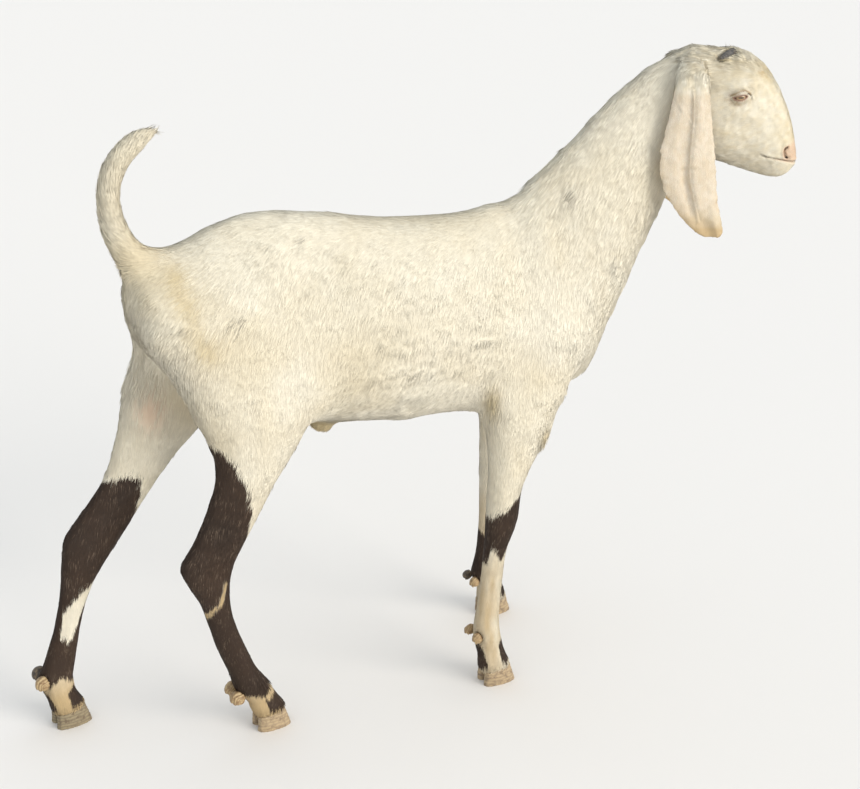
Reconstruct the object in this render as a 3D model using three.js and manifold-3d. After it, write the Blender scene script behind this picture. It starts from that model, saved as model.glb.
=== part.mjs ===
// A young long-eared dairy goat, standing, at life size, in millimetres.
// +X is the way the goat faces, +Y its left and +Z up. The floor is at Z = 0.
// The flesh is modelled whole, from tapering tubes joined into one solid, and is then parted with
// thin cuts into the pieces that a person would name. Eyes, horns, hooves and dewclaws are apart.
import * as THREE from "three";
import { ParametricGeometry } from "three/addons/geometries/ParametricGeometry.js";
import { mergeVertices } from "three/addons/utils/BufferGeometryUtils.js";
import Module from "manifold-3d";

const wasm = await Module();
wasm.setup();

// ---- driving dimensions ------------------------------------------------------------------------
const GAP = 0.3; // the thin cut between neighbours
const HEAD_JOINT = [440, 0]; // the upright axis on which the head turns
const HEAD_TURN = -17; // degrees, to the goat's right
const EYE = { at: [94, 985], out: 46, radius: 13 }; // side, height and distance from the midline
const COAT = 0xe9dfc8;
const DARK_COAT = 0x3a2c24;
const BARE_SKIN = 0xe3c9b6;
const HORN = 0x4a4640;
const HOOF = 0xa08a66;
const EYEBALL = 0xc79a52;
const RIGHT = -1;
const LEFT = 1;

// ---- tubes -------------------------------------------------------------------------------------
// A ring is an oval from its point `a` to its point `b`, both given as [x, z] in the side view, at
// `y` from the midline. `half` is half its width across. `box` is 2 for an ellipse and more for a
// squarer ring. `lean` makes the `a` side narrower than the `b` side, as a back is than a belly.
const FIELDS = ["ax", "az", "bx", "bz", "y", "half", "box", "lean"];

function ring([ax, az], [bx, bz], half, { y = 0, box = 2, lean = 0 } = {}) {
  return { ax, az, bx, bz, y, half, box, lean };
}

function spline(p0, p1, p2, p3, t) {
  const slope1 = (p2 - p0) / 2;
  const slope2 = (p3 - p1) / 2;
  const drop = p1 - p2;
  const square = -3 * drop - 2 * slope1 - slope2;
  const cube = 2 * drop + slope1 + slope2;
  return p1 + slope1 * t + square * t ** 2 + cube * t ** 3;
}

function ringAt(rings, along) {
  const last = rings.length - 1;
  const i = Math.min(Math.floor(along * last), last - 1);
  const at = (k) => rings[THREE.MathUtils.clamp(k, 0, last)];
  const t = along * last - i;
  return Object.fromEntries(
    FIELDS.map((f) => [f, spline(at(i - 1)[f], at(i)[f], at(i + 1)[f], at(i + 2)[f], t)]),
  );
}

function power(value, exponent) {
  return Math.sign(value) * Math.abs(value) ** exponent;
}

function onRing(r, turn, target) {
  const up = power(Math.sin(turn), 2 / r.box);
  const across = power(Math.cos(turn), 2 / r.box) * (1 - r.lean * up);
  return target.set(
    (r.ax + r.bx) / 2 + ((r.ax - r.bx) / 2) * up,
    r.y + r.half * across,
    (r.az + r.bz) / 2 + ((r.az - r.bz) / 2) * up,
  );
}

// A closed solid: a sheet that runs once round (u) and from end to end (v), pinched at both ends.
function closed(place, sides, steps) {
  const sheet = new ParametricGeometry(place, sides, steps);
  sheet.deleteAttribute("normal");
  sheet.deleteAttribute("uv");
  return solidOf(sheet);
}

function solidOf(geometry) {
  const merged = mergeVertices(geometry, 1e-3);
  const corners = merged.index.array;
  const kept = [];
  for (let i = 0; i < corners.length; i += 3) {
    const [a, b, c] = corners.slice(i, i + 3);
    if (a !== b && b !== c && c !== a) kept.push(a, b, c);
  }
  const made = (triangles) =>
    new wasm.Manifold(
      new wasm.Mesh({
        numProp: 3,
        vertProperties: new Float32Array(merged.attributes.position.array),
        triVerts: new Uint32Array(triangles),
      }),
    );
  const solid = made(kept);
  return solid.volume() > 0 ? solid : made(kept.reverse());
}

function plain(geometry, matrix) {
  const bare = geometry.clone().applyMatrix4(matrix);
  bare.deleteAttribute("normal");
  bare.deleteAttribute("uv");
  return solidOf(bare);
}

function tube(rings, sides, stepsEach) {
  const middle = (r) => {
    const x = (r.ax + r.bx) / 2;
    const z = (r.az + r.bz) / 2;
    return { ...r, ax: x, bx: x, az: z, bz: z, half: 0 };
  };
  const steps = (rings.length - 1) * stepsEach;
  const place = (u, v, target) => {
    const row = Math.round(v * (steps + 2));
    const inner = THREE.MathUtils.clamp((row - 1) / steps, 0, 1);
    const r = ringAt(rings, inner);
    onRing(row === 0 || row === steps + 2 ? middle(r) : r, u * 2 * Math.PI, target);
  };
  return closed(place, sides, steps + 2);
}

function ball([x, y, z], [rx, ry, rz], { sides = 16, tilt = 0 } = {}) {
  const place = new THREE.Matrix4().compose(
    new THREE.Vector3(x, y, z),
    new THREE.Quaternion().setFromAxisAngle(new THREE.Vector3(0, 1, 0), THREE.MathUtils.degToRad(tilt)),
    new THREE.Vector3(rx, ry, rz),
  );
  return plain(new THREE.SphereGeometry(1, sides, Math.round(sides * 0.6)), place);
}

function joined(solids) {
  return solids.reduce((a, b) => a.add(b));
}

function mirrored(solid, side) {
  return side === RIGHT ? solid.mirror([0, 1, 0]) : solid;
}

// ---- trunk, neck and tail ----------------------------------------------------------------------
function trunk() {
  const barrel = tube(
    [
      ring([-472, 784], [-474, 744], 19, { lean: 0.1 }),
      ring([-462, 804], [-466, 690], 48, { lean: 0.1 }),
      ring([-432, 814], [-436, 636], 72, { lean: 0.2 }),
      ring([-384, 824], [-386, 584], 88, { lean: 0.28 }),
      ring([-330, 848], [-330, 548], 98, { lean: 0.32 }),
      ring([-270, 861], [-270, 522], 107, { lean: 0.32 }),
      ring([-183, 852], [-190, 508], 118, { lean: 0.28 }),
      ring([-87, 832], [-100, 499], 125, { lean: 0.24, box: 2.1 }),
      ring([0, 823], [-10, 489], 123, { lean: 0.22, box: 2.1 }),
      ring([80, 824], [70, 491], 112, { lean: 0.26 }),
      ring([140, 838], [140, 493], 102, { lean: 0.32 }),
      ring([185, 846], [205, 490], 93, { lean: 0.3 }),
      ring([232, 830], [258, 500], 84, { lean: 0.2 }),
      ring([268, 790], [294, 532], 68, { lean: 0.1 }),
      ring([290, 740], [314, 580], 40),
    ],
    22,
    1,
  );
  const sheath = ball([-172, 0, 501], [25, 14, 19], { sides: 10, tilt: 20 });
  return joined([barrel, sheath]);
}

function neck() {
  return tube(
    [
      ring([120, 822], [276, 545], 76, { lean: 0.25 }),
      ring([160, 848], [314, 580], 86, { lean: 0.3 }),
      ring([205, 877], [342, 640], 76, { lean: 0.3 }),
      ring([262, 925], [367, 700], 63, { lean: 0.25 }),
      ring([318, 977], [400, 757], 53, { lean: 0.2 }),
      ring([364, 1014], [427, 814], 47, { y: -2, lean: 0.15 }),
      ring([410, 1041], [450, 866], 44, { y: -4, lean: 0.1 }),
      ring([452, 1050], [476, 900], 40, { y: -8 }),
    ],
    18,
    1,
  );
}

function tail() {
  return tube(
    [
      ring([-462, 742], [-400, 800], 30),
      ring([-478, 776], [-424, 815], 29),
      ring([-491, 812], [-443, 833], 25),
      ring([-501, 851], [-459, 863], 22),
      ring([-505, 893], [-466, 896], 20),
      ring([-500, 930], [-461, 922], 19),
      ring([-488, 960], [-449, 945], 18),
      ring([-468, 981], [-430, 963], 16),
      ring([-444, 996], [-414, 979], 13),
      ring([-424, 1001], [-405, 990], 8),
    ],
    12,
    1,
  );
}

// ---- legs --------------------------------------------------------------------------------------
// Each leg runs down from inside the trunk to past the coronet, where it is cut level with the hooves.
function legRing(front, back, y, half, box = 2) {
  return ring(front, back, half, { y, box });
}

const LEGS = {
  fore_right: {
    side: RIGHT,
    rings: [
      legRing([225, 726], [165, 726], -40, 6),
      legRing([256, 692], [128, 692], -55, 31),
      legRing([274, 642], [98, 646], -65, 40),
      legRing([264, 592], [78, 598], -73, 46),
      legRing([236, 550], [64, 548], -80, 45),
      legRing([207, 510], [66, 510], -86, 41),
      legRing([184, 462], [76, 468], -88, 36),
      legRing([157, 412], [80, 420], -89, 30),
      legRing([138, 372], [80, 375], -88, 27, 2.3),
      legRing([137, 335], [79, 335], -86, 27, 2.4),
      legRing([131, 300], [79, 300], -84, 24, 2.3),
      legRing([117, 262], [77, 262], -82, 18),
      legRing([113, 200], [73, 200], -79, 16.5),
      legRing([109, 142], [68, 146], -75, 18),
      legRing([112, 102], [64, 108], -72, 23, 2.2),
      legRing([120, 70], [72, 72], -70, 21),
      legRing([133, 29], [80, 19], -69, 23, 2.3),
    ],
    knee: { at: [112, 268], normal: [0.06, 1] },
    foot: { heel: [82, -70], toe: [138, -66] },
    fetlock: [67, 97],
  },
  fore_left: {
    side: LEFT,
    rings: [
      legRing([225, 726], [165, 726], 40, 6),
      legRing([256, 692], [128, 692], 55, 31),
      legRing([274, 642], [98, 646], 65, 40),
      legRing([270, 592], [92, 598], 74, 46),
      legRing([256, 550], [92, 548], 83, 45),
      legRing([240, 508], [107, 508], 91, 40),
      legRing([229, 462], [131, 464], 98, 34),
      legRing([219, 412], [149, 416], 106, 29),
      legRing([214, 372], [154, 374], 112, 27, 2.3),
      legRing([214, 335], [156, 335], 117, 27, 2.4),
      legRing([209, 300], [158, 300], 121, 24, 2.3),
      legRing([199, 262], [160, 262], 126, 18),
      legRing([202, 200], [163, 200], 133, 16.5),
      legRing([203, 142], [161, 138], 139, 18),
      legRing([208, 98], [155, 92], 144, 23, 2.2),
      legRing([216, 68], [167, 60], 148, 21),
      legRing([225, 29], [174, 18], 152, 23, 2.3),
    ],
    knee: { at: [180, 268], normal: [0, 1] },
    foot: { heel: [174, 150], toe: [230, 158] },
    fetlock: [157, 76],
  },
  hind_right: {
    side: RIGHT,
    rings: [
      legRing([-300, 796], [-424, 788], -38, 8),
      legRing([-258, 748], [-458, 754], -50, 30),
      legRing([-228, 698], [-463, 706], -62, 47),
      legRing([-205, 632], [-438, 652], -69, 51),
      legRing([-201, 576], [-409, 594], -75, 48),
      legRing([-222, 528], [-385, 542], -78, 40),
      legRing([-248, 488], [-371, 500], -78, 33),
      legRing([-276, 445], [-371, 460], -76, 28),
      legRing([-302, 396], [-388, 410], -74, 24),
      legRing([-326, 352], [-408, 366], -72, 22),
      legRing([-344, 318], [-434, 325], -70, 22),
      legRing([-352, 286], [-425, 294], -69, 22, 2.2),
      legRing([-354, 256], [-405, 258], -68, 19),
      legRing([-350, 220], [-393, 216], -67, 17),
      legRing([-338, 180], [-382, 172], -65, 16.5),
      legRing([-318, 126], [-362, 114], -61, 18),
      legRing([-299, 88], [-350, 80], -58, 23, 2.2),
      legRing([-284, 64], [-332, 54], -56, 21),
      legRing([-266, 29], [-316, 18], -54, 23, 2.3),
    ],
    knee: { at: [-376, 250], normal: [0.05, 1] },
    foot: { heel: [-319, -57], toe: [-264, -51] },
    fetlock: [-351, 70],
  },
  hind_left: {
    side: LEFT,
    rings: [
      legRing([-300, 796], [-424, 788], 38, 8),
      legRing([-262, 748], [-458, 754], 50, 30),
      legRing([-240, 698], [-464, 706], 62, 47),
      legRing([-236, 636], [-461, 655], 68, 49),
      legRing([-262, 580], [-467, 606], 73, 44),
      legRing([-305, 536], [-478, 556], 75, 37),
      legRing([-346, 500], [-486, 510], 75, 33),
      legRing([-388, 462], [-503, 456], 74, 29),
      legRing([-421, 424], [-519, 420], 73, 25),
      legRing([-457, 376], [-549, 384], 71, 23),
      legRing([-491, 328], [-585, 342], 69, 22),
      legRing([-519, 292], [-593, 302], 68, 22, 2.2),
      legRing([-542, 258], [-597, 262], 68, 19),
      legRing([-558, 222], [-603, 224], 68, 17),
      legRing([-571, 176], [-616, 174], 69, 16.5),
      legRing([-581, 126], [-633, 128], 70, 18),
      legRing([-589, 92], [-644, 98], 71, 23, 2.2),
      legRing([-587, 66], [-639, 66], 73, 21),
      legRing([-573, 29], [-624, 19], 77, 23, 2.3),
    ],
    knee: { at: [-574, 252], normal: [-0.15, 1] },
    foot: { heel: [-625, 72], toe: [-569, 84] },
    fetlock: [-640, 91],
  },
};

function leg({ rings }) {
  return tube(rings, 12, 1);
}

// A cloven foot: two claws side by side, flat underneath, the wall sloping out to the toe.
const CLAW = { width: 22, toeHeight: 36, heelHeight: 25, cleft: 1.6, flare: 1.08, toeLean: 9 };

function claw({ heel, toe }, outward) {
  const length = Math.hypot(toe[0] - heel[0], toe[1] - heel[1]);
  const along = Math.atan2(toe[1] - heel[1], toe[0] - heel[0]);
  const place = (u, v, target) => {
    const level = THREE.MathUtils.clamp(v * 4 - 1, 0, 2) / 2; // 0 at the sole, 1 at the coronet
    const pinched = v === 0 || v === 1 ? 0 : 1;
    const turn = u * 2 * Math.PI;
    const reach = Math.cos(turn);
    const spread = THREE.MathUtils.lerp(CLAW.flare, 1, level);
    const taper = 1 - 0.32 * Math.max(0, reach) ** 2;
    const wide = power(Math.sin(turn), 0.75) * taper * pinched;
    const long = power(reach, 0.85) * pinched;
    const across = wide > 0 ? (wide * CLAW.width) / 2 * spread : (wide * CLAW.width) / 2;
    const height = THREE.MathUtils.lerp(CLAW.heelHeight, CLAW.toeHeight, (long + 1) / 2) * level;
    const lift = v === 0 ? 0 : height;
    const x = length / 2 + (long * length) / 2 * spread - CLAW.toeLean * level * (long + 1) / 2;
    const y = outward * (CLAW.cleft / 2 + CLAW.width / 2 + across);
    target.set(
      heel[0] + x * Math.cos(along) - y * Math.sin(along),
      heel[1] + x * Math.sin(along) + y * Math.cos(along),
      v === 1 ? (CLAW.heelHeight + CLAW.toeHeight) / 2 : lift,
    );
  };
  return closed(place, 12, 4);
}

// Cuts a leg off just above the slanting top of its two claws.
function cutAtCoronet(solid, { foot: { heel, toe } }) {
  const length = Math.hypot(toe[0] - heel[0], toe[1] - heel[1]);
  const rise = (CLAW.toeHeight - CLAW.heelHeight) / (length - CLAW.toeLean);
  const size = Math.hypot(rise, 1);
  const [nx, ny] = [0, 1].map((i) => (-rise * (toe[i] - heel[i])) / length / size);
  const away = nx * heel[0] + ny * heel[1] + CLAW.heelHeight / size + GAP;
  return solid.trimByPlane([nx, ny, 1 / size], away);
}

const DEWCLAW = { apart: 16, size: [12, 9, 12] };

function dewclaw({ fetlock, foot, side }, outward, grow = 0) {
  const y = (foot.heel[1] + foot.toe[1]) / 2 + outward * DEWCLAW.apart - side * 2;
  const [rx, ry, rz] = DEWCLAW.size.map((r) => r + grow);
  return ball([fetlock[0], y, fetlock[1]], [rx, ry, rz], { sides: 8, tilt: -25 });
}

// ---- head --------------------------------------------------------------------------------------
// The head has its own frame: X along the turned head, from the upright axis of the head joint.
const HEAD_PLACE = new THREE.Matrix4()
  .makeTranslation(HEAD_JOINT[0], HEAD_JOINT[1], 0)
  .multiply(new THREE.Matrix4().makeRotationZ(THREE.MathUtils.degToRad(HEAD_TURN)));

function inHead(solid) {
  return solid.transform(HEAD_PLACE.elements);
}

function skull() {
  const form = tube(
    [
      ring([-12, 1041], [10, 918], 34),
      ring([22, 1060], [34, 892], 45, { lean: -0.02, box: 2.2 }),
      ring([64, 1055], [56, 880], 51, { lean: -0.06, box: 2.3 }),
      ring([104, 1054], [80, 869], 54, { lean: -0.12, box: 2.2 }),
      ring([142, 1033], [104, 860], 49, { lean: -0.16 }),
      ring([171, 993], [126, 852], 42, { lean: -0.14, box: 2.1 }),
      ring([192, 948], [144, 847], 37, { lean: -0.08, box: 2.2 }),
      ring([204, 908], [158, 843], 33, { box: 2.3 }),
      ring([209, 886], [172, 841], 29, { box: 2.3 }),
      ring([209, 872], [186, 843], 22, { box: 2.2 }),
      ring([205, 863], [195, 851], 9),
    ],
    18,
    2,
  );
  const both = (at, out, size, options) =>
    [LEFT, RIGHT].map((side) => ball([at[0], side * out, at[1]], size, options));
  return joined([
    form,
    ...both([95, 986], 37, [29, 20, 23], { sides: 12, tilt: 20 }), // rim round the eye
    ...both([190, 888], 18, [15, 11, 14], { sides: 8, tilt: 60 }), // nostril wing
    ...both([14, 1012], 37, [24, 20, 27], { sides: 8, tilt: -10 }), // root of the ear
    ball([178, 0, 853], [20, 21, 11], { sides: 10, tilt: -16 }), // chin
  ]);
}

// An ear hangs as a long folded leaf: a deep front lobe, a groove, and a flatter rear lobe.
const EAR = [
  // height, front edge, rear edge, distance out, thickness
  [1046, 30, 2, 22, 16],
  [1039, 36, -4, 38, 26],
  [1022, 41, -12, 54, 28],
  [1000, 43, -17, 65, 22],
  [975, 45, -22, 73, 14],
  [945, 48, -31, 80, 9],
  [905, 53, -40, 86, 7],
  [865, 57, -39, 90, 6.5],
  [830, 61, -25, 93, 6.5],
  [800, 68, -4, 95, 6.5],
  [778, 73, 18, 97, 6.5],
  [766, 66, 38, 98, 6],
];

function ear() {
  const steps = 13;
  const place = (u, v, target) => {
    const row = Math.round(v * (steps + 2));
    const along = THREE.MathUtils.clamp((row - 1) / steps, 0, 1) * (EAR.length - 1);
    const i = Math.min(Math.floor(along), EAR.length - 2);
    const at = (k) => EAR[THREE.MathUtils.clamp(k, 0, EAR.length - 1)];
    const [z, front, rear, out, thick] = EAR[0].map((_, f) =>
      spline(at(i - 1)[f], at(i)[f], at(i + 1)[f], at(i + 2)[f], along - i),
    );
    const pinched = row === 0 || row === steps + 2 ? 0 : 1;
    const across = Math.cos(u * 2 * Math.PI) * pinched; // 1 at the front edge, -1 at the rear
    const depth = power(Math.sin(u * 2 * Math.PI), 0.7) * (thick / 2) * pinched;
    const loose = THREE.MathUtils.smoothstep(along, 1, 4);
    const frontLobe = across > 0 ? Math.sin(Math.PI * across) * 10 : 0;
    const rearLobe = across < 0 ? Math.sin(-Math.PI * across) * 4 : 0;
    target.set(
      (front + rear) / 2 + (across * (front - rear)) / 2,
      out + depth + loose * (frontLobe + rearLobe - 4),
      z,
    );
  };
  return closed(place, 12, steps + 2);
}

// A horn is a short stub that lies back and outwards, half sunk in the poll.
const HORN_STUB = {
  base: [82, 17, 1046],
  points: [-22, 21, -4],
  outline: [[10, -14], [10, 0], [9, 12], [7, 23], [4, 30]], // radius, distance along
};

function horn(grow = 0) {
  const first = HORN_STUB.outline[0][1] - grow;
  const last = HORN_STUB.outline.at(-1)[1] + grow;
  const outline = HORN_STUB.outline.map(([radius, along]) => {
    const held = along < 0 ? first : along;
    return new THREE.Vector2(radius + grow, held);
  });
  const profile = [new THREE.Vector2(0, first), ...outline, new THREE.Vector2(0, last)];
  const up = new THREE.Vector3(0, 1, 0);
  const points = new THREE.Vector3(...HORN_STUB.points).normalize();
  const turn = new THREE.Quaternion().setFromUnitVectors(up, points);
  const place = new THREE.Matrix4().compose(
    new THREE.Vector3(...HORN_STUB.base),
    turn,
    new THREE.Vector3(1, 1, 1),
  );
  return plain(new THREE.LatheGeometry(profile, 10), place);
}

function eyeball(grow = 0) {
  return ball([EYE.at[0], EYE.out, EYE.at[1]], Array(3).fill(EYE.radius + grow), { sides: 12 });
}

// A thin curved slit for the closed lips, and a slanting one for each nostril.
function mouthSlit() {
  return ball([190, 0, 873.5], [48, 60, 0.9], { sides: 12, tilt: -12 });
}

function nostrilSlit(side) {
  return ball([185, side * 31, 888], [8, 7, 3], { sides: 8, tilt: 76 });
}

// ---- cutting -----------------------------------------------------------------------------------
// An upright block between two opposite corners; with `grow` it is wider all round.
function block(low, high, grow = 0) {
  const size = high.map((h, i) => h - low[i] + 2 * grow);
  const centre = high.map((h, i) => (h + low[i]) / 2);
  return plain(new THREE.BoxGeometry(...size), new THREE.Matrix4().makeTranslation(...centre));
}

// What a limb's cut takes: a block on one side, under a top that rises outwards.
function limbRegion({ low, high, inner, rise }, grow = 0) {
  const size = Math.hypot(rise, 1);
  const down = [0, rise / size, -1 / size];
  return block(low, high, grow).trimByPlane(down, (rise * inner[0] - inner[1]) / size - grow);
}

let rest; // the flesh that is not yet parted off

function part(region) {
  const taken = rest.intersect(region(0));
  rest = largest(rest.subtract(region(GAP)));
  return largest(taken);
}

function largest(solid) {
  return solid.decompose().reduce((a, b) => (a.volume() > b.volume() ? a : b));
}

function halves(solid, [x, z], [nx, nz]) {
  const size = Math.hypot(nx, nz);
  const normal = [nx / size, 0, nz / size];
  const away = (x * nx + z * nz) / size;
  return [
    largest(solid.trimByPlane(normal, away + GAP / 2)),
    largest(solid.trimByPlane(normal.map((n) => -n), -away + GAP / 2)),
  ];
}

// ---- the goat ----------------------------------------------------------------------------------
const goat = new THREE.Group();

function show(name, solid, colour, roughness = 0.9) {
  const made = solid.getMesh();
  const geometry = new THREE.BufferGeometry()
    .setAttribute("position", new THREE.BufferAttribute(new Float32Array(made.vertProperties), 3))
    .setIndex(new THREE.BufferAttribute(made.triVerts, 1));
  geometry.computeVertexNormals();
  const mesh = new THREE.Mesh(
    geometry,
    new THREE.MeshStandardMaterial({ color: colour, roughness, metalness: 0 }),
  );
  mesh.name = name;
  goat.add(mesh);
}

const sides = [["right", RIGHT], ["left", LEFT]];

// Ears, by upright cuts beside the skull, before the head meets the neck.
const EAR_REGION = { low: [-60, 60, 740], high: [110, 170, 1075] };
rest = joined([skull(), ...sides.map(([, side]) => mirrored(ear(), side))]);
for (const [name, side] of sides) {
  const region = (grow) => mirrored(block(EAR_REGION.low, EAR_REGION.high, grow), side);
  show("ear_" + name, inHead(part(region)), BARE_SKIN, 0.8);
}
rest = joined([trunk(), neck(), tail(), ...Object.values(LEGS).map(leg), inHead(rest)]);

// Legs, by cuts that rise outwards, and again below the knee or hock.
const SHOULDER = { low: [40, 42, -10], high: [310, 260, 800], inner: [42, 520], rise: 0.9 };
const HIP = { low: [-700, 24, -10], high: [-196, 260, 900], inner: [24, 606], rise: 0.8 };
const claws = [["outer", 1], ["inner", -1]];
for (const [name, legPlan] of Object.entries(LEGS)) {
  const limb = name.startsWith("fore") ? SHOULDER : HIP;
  const parted = part((grow) => mirrored(limbRegion(limb, grow), legPlan.side));
  const whole = cutAtCoronet(parted, legPlan);
  const nails = claws.map(([which, way]) => [which, way * legPlan.side]);
  const bare = nails.reduce((flesh, [, way]) => flesh.subtract(dewclaw(legPlan, way, GAP)), whole);
  const [upper, lower] = halves(bare, legPlan.knee.at, legPlan.knee.normal);
  show("leg_upper_" + name, upper, COAT);
  show("leg_lower_" + name, lower, DARK_COAT);
  for (const [which, way] of nails) {
    show("hoof_" + name + "_" + which, claw(legPlan.foot, way), HOOF, 0.6);
    show("dewclaw_" + name + "_" + which, dewclaw(legPlan, way), HOOF, 0.7);
  }
}

// Tail, head and neck, by flat cuts across.
const TAIL_ROOT = { at: [-452, 800], normal: [0.5, -0.85] };
const TAIL_MIDDLE = { at: [-486, 896], normal: [-0.05, 1] };
const NECK_BASE = { at: [240, 710], normal: [-0.8, -0.5] };
const NECK_TOP = { at: [446, 960], normal: [-1, -0.15] };
let tailWhole;
[rest, tailWhole] = halves(rest, TAIL_ROOT.at, TAIL_ROOT.normal);
const [tailTip, tailBase] = halves(tailWhole, TAIL_MIDDLE.at, TAIL_MIDDLE.normal);
show("tail_base", tailBase, COAT);
show("tail_tip", tailTip, COAT);
let front;
[rest, front] = halves(rest, NECK_BASE.at, NECK_BASE.normal);
const [neckPiece, headPiece] = halves(front, NECK_TOP.at, NECK_TOP.normal);
show("trunk", rest, COAT);
show("neck", neckPiece, COAT);

const cutsInHead = [mouthSlit(), ...sides.map(([, side]) => nostrilSlit(side))];
let headLeft = cutsInHead.reduce((flesh, cut) => flesh.subtract(inHead(cut)), headPiece);
for (const [name, side] of sides) {
  headLeft = headLeft
    .subtract(inHead(mirrored(eyeball(GAP), side)))
    .subtract(inHead(mirrored(horn(GAP), side)));
  show("eye_" + name, inHead(mirrored(eyeball(), side)), EYEBALL, 0.15);
  show("horn_" + name, inHead(mirrored(horn(), side)), HORN, 0.6);
}
show("head", largest(headLeft), COAT);

// The origin goes to the floor, under the middle of the goat's box.
const middle = new THREE.Box3().setFromObject(goat).getCenter(new THREE.Vector3());
goat.position.set(-middle.x, -middle.y, 0);

export default goat;
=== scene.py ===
"""Dresses the goat: one skin over the flesh, a coat of tufts, eyes, horns, feet and a plain stage.

Metres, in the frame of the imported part: +X is the way the goat faces, +Y its left and +Z up.
Places are given in millimetres, in the body's own axes or in those of the turned head.
"""
import contextlib
import math

import bmesh
import bpy
import numpy as np
from bpy.props import FloatProperty, FloatVectorProperty, IntProperty, PointerProperty
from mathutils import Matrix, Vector
from mathutils.bvhtree import BVHTree


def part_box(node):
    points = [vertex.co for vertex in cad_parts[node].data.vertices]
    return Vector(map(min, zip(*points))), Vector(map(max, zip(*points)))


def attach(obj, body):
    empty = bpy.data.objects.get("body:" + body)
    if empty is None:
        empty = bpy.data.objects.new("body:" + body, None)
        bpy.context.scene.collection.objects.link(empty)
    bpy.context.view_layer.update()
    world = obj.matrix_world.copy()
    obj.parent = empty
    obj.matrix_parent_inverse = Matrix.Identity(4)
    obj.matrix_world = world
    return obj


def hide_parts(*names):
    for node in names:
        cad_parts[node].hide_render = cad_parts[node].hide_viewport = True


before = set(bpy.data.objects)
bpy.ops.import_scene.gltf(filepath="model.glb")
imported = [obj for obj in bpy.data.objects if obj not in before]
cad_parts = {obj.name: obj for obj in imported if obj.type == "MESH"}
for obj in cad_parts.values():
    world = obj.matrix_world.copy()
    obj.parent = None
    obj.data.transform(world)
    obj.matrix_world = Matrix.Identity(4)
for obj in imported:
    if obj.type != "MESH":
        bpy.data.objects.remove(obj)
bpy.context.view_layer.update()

bl_info = {
    "name": "Long-eared goat",
    "version": (1, 0, 0),
    "blender": (4, 5, 0),
    "location": "3D View > Sidebar > Goat",
    "description": "Skin, coat, eyes, horns and feet of a standing goat",
    "category": "Add Mesh",
}

MM = 0.001
LEGS = ("fore_right", "fore_left", "hind_right", "hind_left")
FLESH = ["trunk", "neck", "head", "tail_base", "tail_tip", "ear_right", "ear_left"] + [
    f"leg_{part}_{leg}" for leg in LEGS for part in ("upper", "lower")
]
REGION = {name: index for index, name in enumerate(FLESH)}
BODY_ORIGIN = np.array([0.00396, -0.0247, 0.0])  # the body's own origin, in the frame
UP = np.array([0.0, 0.0, 1.0])


def on(region, *words):
    """Marks the vertices of the nodes whose names hold one of the words."""
    chosen = [index for name, index in REGION.items() if any(word in name for word in words)]
    return np.isin(region, chosen)


def by_part(table, region):
    """Each vertex's row of a table that is kept by parts of the body."""
    rows = [table[next(part for part in table if name.startswith(part))] for name in FLESH]
    return np.array(rows, float)[region]


# ---- the body's axes and the head's -------------------------------------------------------------
def middle(node):
    low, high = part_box(node)
    return np.array((low + high) / 2)


EYE_FORWARD = 94  # the eyes' place in the head's axes
EYE_OUT = 46
EYE_HEIGHT = 985
EYE_RADIUS = 13
NEAR_EYE = 30
SIDES = {"right": -1, "left": 1}  # which way along +Y each side lies
EYES = {side: middle("eye_" + side) for side in SIDES}
ACROSS = (EYES["left"] - EYES["right"]) / np.linalg.norm(EYES["left"] - EYES["right"])
FORWARD = np.cross(ACROSS, UP)
HEAD_AXES = np.stack([FORWARD, ACROSS, UP])
HEAD_ORIGIN = (EYES["left"] + EYES["right"]) / 2 - FORWARD * EYE_FORWARD * MM
HEAD_ORIGIN[2] = 0.0


def in_head(points):
    """Millimetres forward, to the left and up, in the turned head's axes."""
    return (points - HEAD_ORIGIN) @ HEAD_AXES.T / MM


def from_head(places):
    return HEAD_ORIGIN + np.asarray(places, float) @ HEAD_AXES * MM


def in_body(points):
    return (points - BODY_ORIGIN) / MM


def from_eye(places):
    """How far forward of the eye's middle a place is, and how far above it, in the head's axes."""
    return places[:, 0] - EYE_FORWARD, places[:, 2] - EYE_HEIGHT


def eye_distance(face):
    """How far a place on the right of the head is from a point just outside the eye."""
    return np.linalg.norm(face - [EYE_FORWARD, -EYE_OUT - 8, EYE_HEIGHT], axis=1)


def at_eye(side, forward, out, up):
    """Places round the middle of one eye, in the frame: forward of it, out from it and above it."""
    sign = SIDES[side]
    return from_head(np.stack([EYE_FORWARD + forward, sign * (EYE_OUT + out), EYE_HEIGHT + up], 1))


# ---- numbers ------------------------------------------------------------------------------------
def ramp(low, high, value):
    """0 below low, 1 above high, and a smooth rise between; low may be the greater."""
    t = np.clip((value - low) / (high - low), 0, 1)
    return t * t * (3 - 2 * t)


def unit(vectors):
    return vectors / np.maximum(np.linalg.norm(vectors, axis=-1, keepdims=True), 1e-12)


def mound(points, centre, radii):
    """1 at the centre and falling away smoothly over the radii."""
    return np.exp(-(((points - centre) / radii) ** 2).sum(-1))


def bump(distance, width):
    """1 at no distance and falling away smoothly over the width."""
    return np.exp(-((distance / width) ** 2))


def with_mounds(total, points, rows, share=1):
    """Adds every row's mound to the total: its centre, radii and height."""
    for centre, radii, height in rows:
        total = total + share * height * mound(points, centre, radii)
    return total


def mirror_right(places):
    """Both sides folded on to the right, so that one landmark serves for two."""
    folded = places.copy()
    folded[:, 1] = -np.abs(folded[:, 1])
    return folded


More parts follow.
